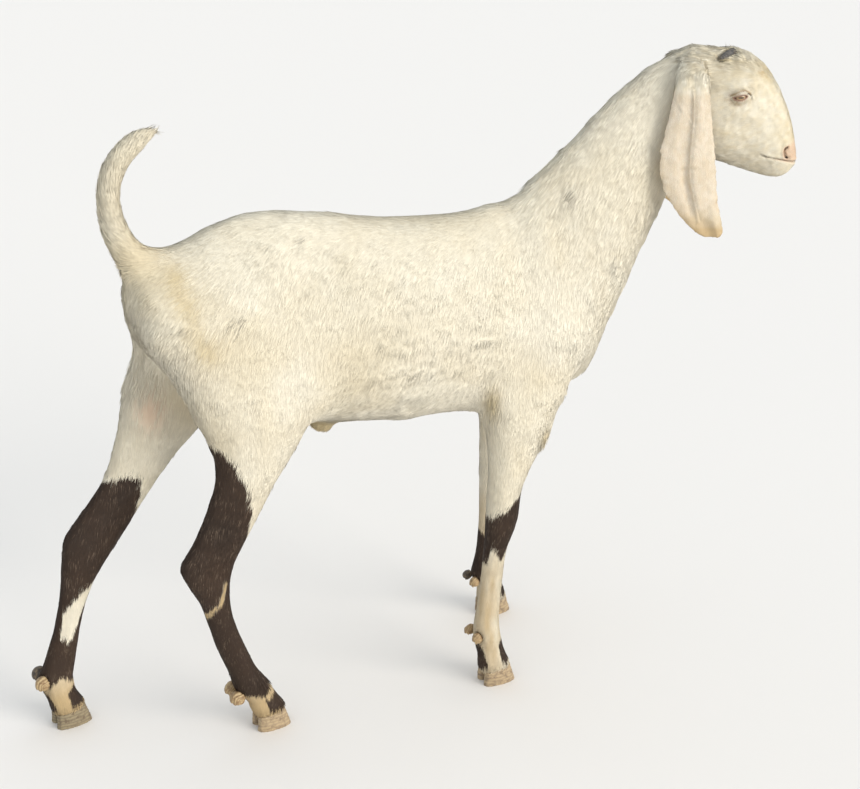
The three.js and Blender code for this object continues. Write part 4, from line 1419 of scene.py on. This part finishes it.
def whisker_roots(side, rng):
    """Roots and aims of the whiskers of one side, in metres."""
    skin, roots, aims = bpy.data.objects["skin"].data, [], []
    points, normals = points_of(skin), normals_of(skin)
    places = in_head(points)
    for centre, radius, count, length in WHISKERS:
        spot = np.array(centre) * [1, SIDES[side], 1]
        near = np.nonzero(np.linalg.norm(places - spot, axis=1) < radius)[0]
        for i in rng.choice(near, count, replace=False):
            aim = unit(normals[i] + HEAD_AXES.T @ [0.45, 0, -0.35] + 0.15 * rng.standard_normal(3))
            roots.append(points[i] - normals[i] * 0.0006)
            aims.append(aim * length * MM * (0.6 + 0.6 * rng.random()))
    return np.array(roots), np.array(aims)


def stand_bristles(name, roots, aims, material, thickness):
    """Turns roots and aims into one closed mesh of hairs."""
    mesh = bpy.data.meshes.new(name)
    mesh.from_pydata([tuple(p) for p in roots], [], [])
    set_values(mesh, "aim", "FLOAT_VECTOR", aims)
    made = new_object(name, mesh)
    modifier = made.modifiers.new("bristles", "NODES")
    modifier.node_group = bristle_tree()
    sockets = modifier.node_group.interface.items_tree
    modifier[sockets["Thickness"].identifier] = thickness
    modifier[sockets["Material"].identifier] = material
    seen = made.evaluated_get(bpy.context.evaluated_depsgraph_get())
    made.data = bpy.data.meshes.new_from_object(seen)
    made.modifiers.clear()
    bpy.data.meshes.remove(mesh)
    return made


# ---- horns, hooves and dewclaws -----------------------------------------------------------------
def refined_horn(node, name, grain, swell):
    """A finer copy of a horny node, rounded a little and ringed by its growth."""
    shell = merged_copy(node)
    mesh = bpy.data.meshes.new(name)
    shell.to_mesh(mesh)
    shell.free()
    made = new_object(name, mesh)
    apply_modifier(made, "REMESH", mode="VOXEL", voxel_size=grain, adaptivity=0)
    points = points_of(made.data)
    points = smoothed(points, edges_of(made.data), 0.5, 4)
    place_points(made.data, points)
    push, grown = swell(points)
    push_out(made.data, points, push)
    set_values(made.data, "growth", "FLOAT", grown)
    with opened(made.data) as whole:
        bmesh.ops.triangulate(whole, faces=whole.faces)
    made.data.shade_smooth()
    return made


def hoof_rings(points):
    """How far the wall stands out in its shallow rings and its wear, and how far up it is."""
    height = points[:, 2] / MM
    wavy = height + 1.2 * drift(points, 0.012, 31)
    walls = ramp(2, 6, height)
    rings = 0.12 * np.sin(wavy * 1.9) + 0.16 * np.sin(wavy * 0.83)
    push = walls * (rings + 0.5 * drift(points, 0.009, 32) + 0.25 * drift(points, 0.004, 37))
    return push, wavy


def knob_rings(centre, swollen):
    """Coarse rings round a knobbly dewclaw, swollen by so many millimetres."""

    def swell(points):
        arm = points - centre - np.array([0.004, 0, -0.003])
        away = np.hypot(arm[:, 0], arm[:, 2]) / MM + 1.2 * drift(points, 0.01, 33)
        return swollen + 0.55 * np.sin(away * 1.9) + 1.5 * drift(points, 0.009, 34), away

    return swell


def horn_rings(base):
    """Wrinkles across a stub of horn."""

    def swell(points):
        away = np.linalg.norm(points - base, axis=1) / MM + 0.6 * drift(points, 0.01, 35)
        return 0.4 * np.sin(away * 1.7) + 0.4 * drift(points, 0.005, 36) - 2.4, away

    return swell


# ---- material helpers ---------------------------------------------------------------------------
def put(tree, kind, inputs=None, **settings):
    """Adds a node, sets it up, and links or sets its inputs by name or number."""
    made = tree.nodes.new(kind)
    made.location = (190 * len(tree.nodes), 0)
    for name, value in settings.items():
        setattr(made, name, value)
    for name, value in (inputs or {}).items():
        if isinstance(value, bpy.types.NodeSocket):
            tree.links.new(value, made.inputs[name])
        else:
            made.inputs[name].default_value = value
    return made


def rgba(colour):
    """A colour with its alpha; a socket stays as it is."""
    return colour if isinstance(colour, bpy.types.NodeSocket) else (*colour, 1.0)


def mixed(tree, factor, first, second):
    inputs = {0: factor, 6: rgba(first), 7: rgba(second)}
    return put(tree, "ShaderNodeMix", inputs, data_type="RGBA").outputs[2]


def computed(tree, operation, *values):
    return put(tree, "ShaderNodeMath", dict(enumerate(values)), operation=operation).outputs[0]


def vector(tree, operation, *values):
    return put(tree, "ShaderNodeVectorMath", dict(enumerate(values)), operation=operation).outputs


def ranged(tree, value, low, high, first=0.0, last=1.0):
    """The value carried from one range over to another, and held there."""
    inputs = {0: value, 1: low, 2: high, 3: first, 4: last}
    return put(tree, "ShaderNodeMapRange", inputs).outputs[0]


def noise(tree, place, scale, detail):
    inputs = {"Vector": place, "Scale": scale, "Detail": detail}
    return put(tree, "ShaderNodeTexNoise", inputs).outputs["Fac"]


def attribute(tree, name):
    return put(tree, "ShaderNodeAttribute", attribute_name=name).outputs


def own_place(tree):
    return put(tree, "ShaderNodeTexCoord").outputs["Object"]


def bumped(tree, height, strength, distance):
    inputs = {"Height": height, "Strength": strength, "Distance": distance}
    return put(tree, "ShaderNodeBump", inputs).outputs[0]


def new_group(name, inputs, outputs, kind="ShaderNodeTree"):
    """A group with named sockets: {name: (kind, default)} and {name: kind}."""
    tree = bpy.data.node_groups.new(name, kind)
    for label, (kind, default) in inputs.items():
        socket = tree.interface.new_socket(label, in_out="INPUT", socket_type="NodeSocket" + kind)
        if default is not None:
            socket.default_value = default
    for label, kind in outputs.items():
        tree.interface.new_socket(label, in_out="OUTPUT", socket_type="NodeSocket" + kind)
    return tree, put(tree, "NodeGroupInput").outputs


def grouped(tree, group, inputs):
    return put(tree, "ShaderNodeGroup", inputs, node_tree=group).outputs


def new_material(name):
    """A material with nothing but its output node."""
    made = bpy.data.materials.new(name)
    made.use_nodes = True
    made.node_tree.nodes.clear()
    return made, made.node_tree


def finish_material(tree, colour, rough, more=None):
    inputs = {"Base Color": rgba(colour), "Roughness": rough, **(more or {})}
    shader = put(tree, "ShaderNodeBsdfPrincipled", inputs)
    put(tree, "ShaderNodeOutputMaterial", {"Surface": shader.outputs[0]})


def coat_colour_group(settings):
    """Cream hair with warm tints and dark or tan patches, from the shares of each, darkened through
    Depth as painted shade among the tufts.
    """
    inputs = {
        "Marks": ("Color", rgba((0, 0, 0))),
        "Tone": ("Float", 0.5),
        "Depth": ("Float", 0.0),
        "Vector": ("Vector", None),
    }
    tree, given = new_group("Coat colour", inputs, {"Colour": "Color"})
    share = put(tree, "ShaderNodeSeparateColor", {0: given["Marks"]}).outputs
    cloud = noise(tree, given["Vector"], 14.0, 3.0)
    cream = mixed(tree, cloud, settings.cream, settings.cream_shade)
    warm = mixed(tree, share[2], cream, settings.stain)
    tanned = mixed(tree, share[1], warm, settings.tan)
    brown = mixed(tree, cloud, settings.dark, settings.dark_warm)
    # paler hairs at random in the dark patches, partly painted sheen on the dark hair
    fleck_and_sheen = ranged(tree, given["Tone"], 0.66, 0.95, 0.0, 0.8)
    brown = mixed(tree, fleck_and_sheen, brown, settings.fleck_and_sheen)
    base = mixed(tree, share[0], tanned, brown)
    tone = ranged(tree, given["Tone"], 0.0, 1.0, 0.86, 1.11)
    # painted shade: Depth darkens the hair by up to 7 per cent towards the tufts' roots
    deep = ranged(tree, given["Depth"], 0.0, 1.0, 1.0, 0.93)
    value = computed(tree, "MULTIPLY", tone, deep)
    shaded = put(tree, "ShaderNodeHueSaturation", {"Value": value, "Color": base}).outputs[0]
    put(tree, "NodeGroupOutput", {"Colour": shaded})
    return tree


def coat_material(group):
    """The tufts: paler to their tips, as their roots are darkened with painted shade, and lit by their
    own faces where they turn from the viewer.
    """
    made, tree = new_material("Coat of tufts")
    part = put(tree, "ShaderNodeSeparateColor", {0: attribute(tree, "strand")["Color"]}).outputs
    # painted shade: the root half of each tuft is darkened
    root = ranged(tree, part[1], 0.0, 0.45, 1.0, 0.0)
    hair = attribute(tree, "hair")["Color"]
    inputs = {"Marks": hair, "Tone": part[0], "Depth": root, "Vector": own_place(tree)}
    colour = grouped(tree, group, inputs)["Colour"]
    shape = put(tree, "ShaderNodeNewGeometry").outputs
    seen = vector(tree, "DOT_PRODUCT", shape["Normal"], shape["Incoming"])["Value"]
    turned = ranged(tree, seen, -0.1, 0.08, 1.0, 0.0)
    normals = {0: turned, 4: shape["Normal"], 5: shape["True Normal"]}
    facing = put(tree, "ShaderNodeMix", normals, data_type="VECTOR").outputs[1]
    finish_material(tree, colour, 0.6, {"Specular IOR Level": 0.22, "Normal": facing})
    return made


# dark skin of the nostrils, and painted shade in the openings of the face
DARK_SKIN_AND_OPENING_SHADE = (0.03, 0.018, 0.014)  # inside the openings of the face


def skin_material(group, settings):
    """Skin: the undercoat's colour, darkened part way with painted shade under the tufts, bare pink and
    grey places, and a fine grain of lying hair.
    """
    made, tree = new_material("Skin and undercoat")
    place = own_place(tree)
    hair = attribute(tree, "hair")["Color"]
    # painted shade: Depth 0.5 darkens the skin as the shade between the tufts would
    inputs = {"Marks": hair, "Tone": 0.5, "Depth": 0.5, "Vector": place}
    colour = grouped(tree, group, inputs)["Colour"]
    share = put(tree, "ShaderNodeSeparateColor", {0: attribute(tree, "bare")["Color"]}).outputs
    pink = mixed(tree, noise(tree, place, 60.0, 4.0), settings.pink, settings.pink_shade)
    for part, tint in zip(share, (pink, settings.grey, DARK_SKIN_AND_OPENING_SHADE)):
        colour = mixed(tree, part, colour, tint)
    stretched = put(tree, "ShaderNodeMapping", {"Vector": place, "Scale": (1.0, 1.0, 0.22)}).outputs[0]
    normal = bumped(tree, noise(tree, stretched, 420.0, 2.0), 0.35, 0.0012)
    finish_material(tree, colour, 0.62, {"Specular IOR Level": 0.3, "Normal": normal})
    return made


def growth_group():
    """Rings of growth and blotches of wear in horn, each from 0 to 1."""
    inputs = {"Vector": ("Vector", None), "Growth": ("Float", 0.0), "Spacing": ("Float", 1.0)}
    tree, given = new_group("Growth rings", inputs, {"Rings": "Float", "Streaks": "Float"})
    broad = noise(tree, given["Vector"], 150.0, 5.0)
    fine = noise(tree, given["Vector"], 700.0, 2.0)
    shift = computed(tree, "MULTIPLY", broad, 5.0)
    phase = computed(tree, "ADD", computed(tree, "MULTIPLY", given["Growth"], given["Spacing"]), shift)
    wave = ranged(tree, computed(tree, "SINE", phase), -1.0, 1.0)
    wear = computed(tree, "MULTIPLY_ADD", broad, 0.7, computed(tree, "MULTIPLY", fine, 0.3))
    put(tree, "NodeGroupOutput", {"Rings": wave, "Streaks": wear})
    return tree


def horn_material(name, group, pale, deep, stain, spacing, least):
    """Horn: pale and deep bands with streaks, and rough from a least value upwards."""
    made, tree = new_material(name)
    grown = attribute(tree, "growth")["Fac"]
    growth = grouped(tree, group, {"Vector": own_place(tree), "Growth": grown, "Spacing": spacing})
    colour = mixed(tree, growth["Rings"], pale, deep)
    colour = mixed(tree, ranged(tree, growth["Streaks"], 0.47, 0.62), colour, stain)
    rough = ranged(tree, growth["Streaks"], 0.0, 1.0, least, least + 0.25)
    finish_material(tree, colour, rough, {"Normal": bumped(tree, growth["Rings"], 0.15, 0.0004)})
    return made


PUPIL = [(19.0, 4.0), (72.0, 2.0)]  # scale and power across and up, which make a flat slot
PUPIL_COLOUR = (0.035, 0.024, 0.018)
RIM_COLOUR = (0.05, 0.028, 0.015)
EYE_BROWN = (0.26, 0.17, 0.11)  # of the ball beyond the iris


def eye_material(settings):
    """Amber iris with fine rays, a wide flat pupil, a dark rim and brown beyond it, all wet."""
    made, tree = new_material("Eye")
    spot = put(tree, "ShaderNodeUVMap", uv_map="gaze").outputs[0]
    centred = vector(tree, "ADD", spot, (-0.5, -0.5, 0))[0]
    parts = put(tree, "ShaderNodeSeparateXYZ", {0: centred}).outputs
    away = vector(tree, "LENGTH", centred)["Value"]
    turn = computed(tree, "ARCTAN2", parts[1], parts[0])
    along = computed(tree, "MULTIPLY", away, 9.0)
    rays = noise(tree, put(tree, "ShaderNodeCombineXYZ", {0: turn, 1: along}).outputs[0], 7.0, 3.0)
    colour = mixed(tree, rays, settings.iris, settings.iris_shade)
    slot = []
    for part, (scale, power) in zip(parts, PUPIL):
        reach = computed(tree, "ABSOLUTE", computed(tree, "MULTIPLY", part, scale))
        slot.append(computed(tree, "POWER", reach, power))
    pupil = ranged(tree, computed(tree, "ADD", *slot), 0.4, 1.7, 1.0, 0.0)
    rim = ranged(tree, away, EYE_LIMIT - 0.035, EYE_LIMIT)
    white = ranged(tree, away, EYE_LIMIT + 0.01, EYE_LIMIT + 0.06)
    for share, tint in zip((pupil, rim, white), (PUPIL_COLOUR, RIM_COLOUR, EYE_BROWN)):
        colour = mixed(tree, share, colour, tint)
    wet = {"Specular IOR Level": 0.3, "Coat Weight": 0.7, "Coat Roughness": 0.03}
    finish_material(tree, colour, 0.2, wet)
    return made


def plain_material(name, colour, rough):
    made, tree = new_material(name)
    finish_material(tree, colour, rough)
    return made


def lid_material():
    made, tree = new_material("Lid rim")
    speckle = noise(tree, own_place(tree), 500.0, 3.0)
    finish_material(tree, mixed(tree, speckle, (0.13, 0.06, 0.04), (0.26, 0.14, 0.09)), 0.35)
    return made


# ---- settings -----------------------------------------------------------------------------------
def colour_setting(name, description, default):
    return FloatVectorProperty(
        name=name, description=description, default=default, subtype="COLOR", size=3, min=0, max=1
    )


def strength_setting(name, description, default):
    return FloatProperty(name=name, description=description, default=default, min=0)


class GoatSkinSettings(bpy.types.PropertyGroup):
    grain: FloatProperty(
        name="Grain", description="Size of the grid from which the skin is made",
        default=0.0026, unit="LENGTH", min=0.001, max=0.01)
    kept: FloatProperty(
        name="Kept", description="Share of the skin's faces kept on the whole",
        default=0.24, subtype="FACTOR", min=0.05, max=1)
    pink: colour_setting("Pink", "Bare skin of the nose, lips and ears", (0.60, 0.41, 0.28))
    pink_shade: colour_setting("Pink shade", "Darker places in the bare skin", (0.48, 0.31, 0.20))
    # The grey darkens the skin round each eye, most behind and below it, and paints the shade in the
    # crease above it.
    grey: colour_setting("Grey", "Thin hair round the eyes", (0.32, 0.20, 0.14))


class GoatCoatSettings(bpy.types.PropertyGroup):
    cover: FloatProperty(
        name="Cover", description="How thickly the tufts stand", default=1.0, min=0.1, max=2)
    length: FloatProperty(
        name="Length", description="Length of the tufts, as a share of the goat's own",
        default=1.0, min=0.3, max=2)
    seed: IntProperty(name="Seed", description="Picks one scatter of tufts", default=28, min=0)
    cream: colour_setting("Cream", "Most of the coat", (0.80, 0.74, 0.60))
    cream_shade: colour_setting("Cream shade", "Cooler places in the cream", (0.76, 0.69, 0.55))
    stain: colour_setting("Stain", "Warm tint in the cream", (0.63, 0.51, 0.30))
    tan: colour_setting("Tan", "Hair of the lower legs and feet", (0.56, 0.41, 0.22))
    dark: colour_setting("Dark", "Dark patches on the legs", (0.026, 0.017, 0.012))
    # paler hairs in the dark patches, which also paint the sheen of the dark hair
    fleck_and_sheen: colour_setting("Fleck", "Paler hairs in the dark patches", (0.16, 0.115, 0.08))
    dark_warm: colour_setting("Dark, warm", "Browner places in the dark patches", (0.062, 0.036, 0.022))


class GoatHornSettings(bpy.types.PropertyGroup):
    grain: FloatProperty(
        name="Grain", description="Size of the grid from which the horny parts are made",
        default=0.0014, unit="LENGTH", min=0.0005, max=0.01)
    hoof: colour_setting("Hoof", "Walls of the hooves", (0.42, 0.31, 0.18))
    hoof_deep: colour_setting("Hoof, deep", "Darker rings of the hooves", (0.33, 0.24, 0.14))
    horn: colour_setting("Horn", "The horn stubs", (0.10, 0.09, 0.08))
    horn_deep: colour_setting("Horn, deep", "Darker rings of the horn stubs", (0.04, 0.036, 0.033))
    iris: colour_setting("Iris", "Rays of the iris", (0.42, 0.29, 0.15))
    iris_shade: colour_setting("Iris shade", "Between the rays of the iris", (0.26, 0.16, 0.075))


class GoatStageSettings(bpy.types.PropertyGroup):
    floor: colour_setting("Floor", "Colour of the floor", (0.86, 0.81, 0.755))
    key: strength_setting("Key light", "Strength of the main light", 2.75)
    fill: strength_setting("Fill light", "Strength of the fill light", 0.5)
    top: strength_setting("Top light", "Strength of the light from above", 0.35)
    sky: strength_setting("Sky", "Strength of the light from all round", 0.82)


# ---- operators ----------------------------------------------------------------------------------
class GOAT_OT_skin(bpy.types.Operator):
    """Makes the skin over all the flesh"""

    bl_idname = "goat.skin"
    bl_label = "Skin"

    def execute(self, context):
        skin = build_skin(context.scene.goat_skin)
        group = coat_colour_group(context.scene.goat_coat)
        skin.data.materials.clear()
        skin.data.materials.append(skin_material(group, context.scene.goat_skin))
        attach(skin, "root")
        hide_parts(*FLESH)
        return {"FINISHED"}


class GOAT_OT_coat(bpy.types.Operator):
    """Grows the coat on the skin, piece by piece"""

    bl_idname = "goat.coat"
    bl_label = "Coat"

    def execute(self, context):
        settings = context.scene.goat_coat
        rng = np.random.default_rng(settings.seed)
        mesh = bpy.data.objects["skin"].data
        region = get_values(mesh, "region", "INT")
        plan = coat_plan(mesh, region)
        places = [tuple(p) for p in points_of(mesh)]
        tree = BVHTree.FromPolygons(places, [tuple(f) for f in triangles_of(mesh)])
        skin = (tree, triangles_of(mesh), normals_of(mesh))
        material = coat_material(bpy.data.node_groups["Coat colour"])
        for name in PIECES:
            piece = grow(name, mesh, skin, plan, region, rng, settings)
            if len(piece.data.polygons) > MOST_FACES:
                raise RuntimeError(f"{name} has {len(piece.data.polygons)} faces, over {MOST_FACES}")
            piece.data.materials.append(material)
            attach(piece, "root")
        return {"FINISHED"}


class GOAT_OT_eyes(bpy.types.Operator):
    """Sets an eyeball and the rims of its lids in each socket"""

    bl_idname = "goat.eyes"
    bl_label = "Eyes"

    def execute(self, context):
        wet = eye_material(context.scene.goat_horn)
        edge = lid_material()
        for side in SIDES:
            ball = eyeball(side)
            ball.data.materials.append(wet)
            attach(ball, "root")
            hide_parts("eye_" + side)
            rim = lid_rim(side)
            rim.data.materials.append(edge)
            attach(rim, "root")
        return {"FINISHED"}


class GOAT_OT_bristles(bpy.types.Operator):
    """Stands the lashes and the whiskers"""

    bl_idname = "goat.bristles"
    bl_label = "Lashes and whiskers"

    def execute(self, context):
        rng = np.random.default_rng(context.scene.goat_coat.seed)
        pale = plain_material("Pale bristle", (0.62, 0.54, 0.42), 0.5)
        both = [whisker_roots(side, rng) for side in SIDES]
        lashes = [lash_line(side) for side in SIDES]
        for name, found, thick in (("whiskers", both, 0.00022), ("lashes", lashes, 0.0003)):
            roots = np.vstack([root for root, _ in found])
            aims = np.vstack([aim for _, aim in found])
            piece = stand_bristles(name, roots, aims, pale, thick)
            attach(piece, "root")
        return {"FINISHED"}


CLAW_SWELL = {"hind": 1.9, "fore": -1.6}  # millimetres
DARK_CLAWS = ("dewclaw_hind_left_outer", "dewclaw_fore_left_outer")
MUDDY_HOOF = "hoof_hind_left"
HORN_LOOKS = {  # pale and deep bands unless set above, stain, closeness of the bands, least roughness
    "Hoof": ((0.20, 0.14, 0.085), 1.1, 0.5),
    "Dewclaw": ((0.46, 0.34, 0.18), (0.30, 0.19, 0.09), (0.22, 0.13, 0.06), 2.1, 0.5),
    "Dark dewclaw": ((0.09, 0.07, 0.05), (0.05, 0.04, 0.03), (0.2, 0.14, 0.08), 2.1, 0.5),
    "Muddy hoof": ((0.27, 0.215, 0.125), (0.19, 0.15, 0.09), (0.14, 0.10, 0.06), 1.1, 0.6),
    "Horn": ((0.16, 0.13, 0.10), 1.5, 0.5),
}


class GOAT_OT_feet(bpy.types.Operator):
    """Finishes the hooves, the dewclaws and the horn stubs"""

    bl_idname = "goat.feet"
    bl_label = "Horns, hooves and dewclaws"

    def execute(self, context):
        settings = context.scene.goat_horn
        group = growth_group()
        own = {
            "Hoof": (settings.hoof, settings.hoof_deep),
            "Horn": (settings.horn, settings.horn_deep),
        }
        looks = {}
        for name, look in HORN_LOOKS.items():
            looks[name] = horn_material(name, group, *own.get(name, ()), *look)
        for node in sorted(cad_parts):
            kind = node.split("_")[0]
            if kind not in ("hoof", "dewclaw", "horn"):
                continue
            knob = knob_rings(middle(node), CLAW_SWELL["hind" if "hind" in node else "fore"])
            rings = {"hoof": hoof_rings, "dewclaw": knob, "horn": horn_rings(middle(node))}
            piece = refined_horn(node, "fine_" + node, settings.grain, rings[kind])
            piece.data.materials.clear()
            look = kind.capitalize()
            if node in DARK_CLAWS:
                look = "Dark dewclaw"
            elif node.startswith(MUDDY_HOOF):
                look = "Muddy hoof"
            piece.data.materials.append(looks[look])
            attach(piece, "root")
            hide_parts(node)
        return {"FINISHED"}


FLOOR_REACH = 30.0
WARM = (1.0, 0.968, 0.915)
COOL = (0.84, 0.92, 1.0)
SKY_COLOUR = (0.86, 0.93, 1.0)
LIGHTS = {  # where each shines from, its width in degrees and its colour
    "key": ((2.2, -3.2, 1.1), 42, WARM),
    "fill": ((-1.6, -3.0, 0.15), 70, WARM),
    "top": ((-0.4, 0.6, 3.0), 90, COOL),
}
CAMERA_PLACE = (-0.890, -2.271, 1.5)
CAMERA_DOWN = 22.0
CAMERA_TURN = 22.0
CAMERA_LENS = 66.98


class GOAT_OT_stage(bpy.types.Operator):
    """Lays the floor and places the lights and the camera"""

    bl_idname = "goat.stage"
    bl_label = "Stage"

    def execute(self, context):
        settings = context.scene.goat_stage
        mesh = bpy.data.meshes.new("floor")
        corners = [(x, y, 0) for x, y in np.array([(-1, -1), (1, -1), (1, 1), (-1, 1)]) * FLOOR_REACH]
        mesh.from_pydata(corners, [], [(0, 1, 2, 3)])
        floor = new_object("floor", mesh)
        made, tree = new_material("Floor")
        finish_material(tree, settings.floor, 0.9)
        mesh.materials.append(made)
        for name, (place, width, colour) in LIGHTS.items():
            light = bpy.data.lights.new(name, "SUN")
            light.energy = getattr(settings, name)
            light.angle = math.radians(width)
            light.color = colour
            lamp = new_object(name, light)
            lamp.location = place
            lamp.rotation_euler = (-Vector(place)).to_track_quat("-Z", "Y").to_euler()
        world = bpy.data.worlds.new("Studio")
        world.use_nodes = True
        background = next(n for n in world.node_tree.nodes if n.type == "BACKGROUND")
        background.inputs["Color"].default_value = rgba(SKY_COLOUR)
        background.inputs["Strength"].default_value = settings.sky
        context.scene.world = world
        camera = bpy.data.cameras.new("camera")
        camera.lens = CAMERA_LENS
        camera.sensor_width = 36
        view = new_object("camera", camera)
        view.location = CAMERA_PLACE
        view.rotation_euler = (math.radians(90 - CAMERA_DOWN), 0, -math.radians(CAMERA_TURN))
        context.scene.camera = view
        context.scene.view_settings.view_transform = "Standard"
        return {"FINISHED"}


class GOAT_PT_maker(bpy.types.Panel):
    """Lists the goat's pieces in the sidebar"""

    bl_idname = "GOAT_PT_maker"
    bl_label = "Goat"
    bl_space_type = "VIEW_3D"
    bl_region_type = "UI"
    bl_category = "Goat"

    def draw(self, context):
        for settings in (getattr(context.scene, name) for name in SETTINGS):
            box = self.layout.box()
            for name in settings.__annotations__:
                box.prop(settings, name)
        for operator in STEPS:
            self.layout.operator(operator.bl_idname)


STEPS = (GOAT_OT_skin, GOAT_OT_coat, GOAT_OT_eyes, GOAT_OT_bristles, GOAT_OT_feet, GOAT_OT_stage)
SETTINGS = {
    "goat_skin": GoatSkinSettings,
    "goat_coat": GoatCoatSettings,
    "goat_horn": GoatHornSettings,
    "goat_stage": GoatStageSettings,
}


# ---- register and run ---------------------------------------------------------------------------
def register():
    for group in SETTINGS.values():
        bpy.utils.register_class(group)
    for name, group in SETTINGS.items():
        setattr(bpy.types.Scene, name, PointerProperty(type=group))
    for made in (*STEPS, GOAT_PT_maker):
        bpy.utils.register_class(made)


def unregister():
    for made in (GOAT_PT_maker, *reversed(STEPS)):
        bpy.utils.unregister_class(made)
    for name, group in SETTINGS.items():
        delattr(bpy.types.Scene, name)
        bpy.utils.unregister_class(group)


def main():
    """Makes the whole goat, piece by piece."""
    register()
    for step in STEPS:
        getattr(bpy.ops.goat, step.bl_idname.split(".")[1])()


if __name__ == "__main__":
    main()
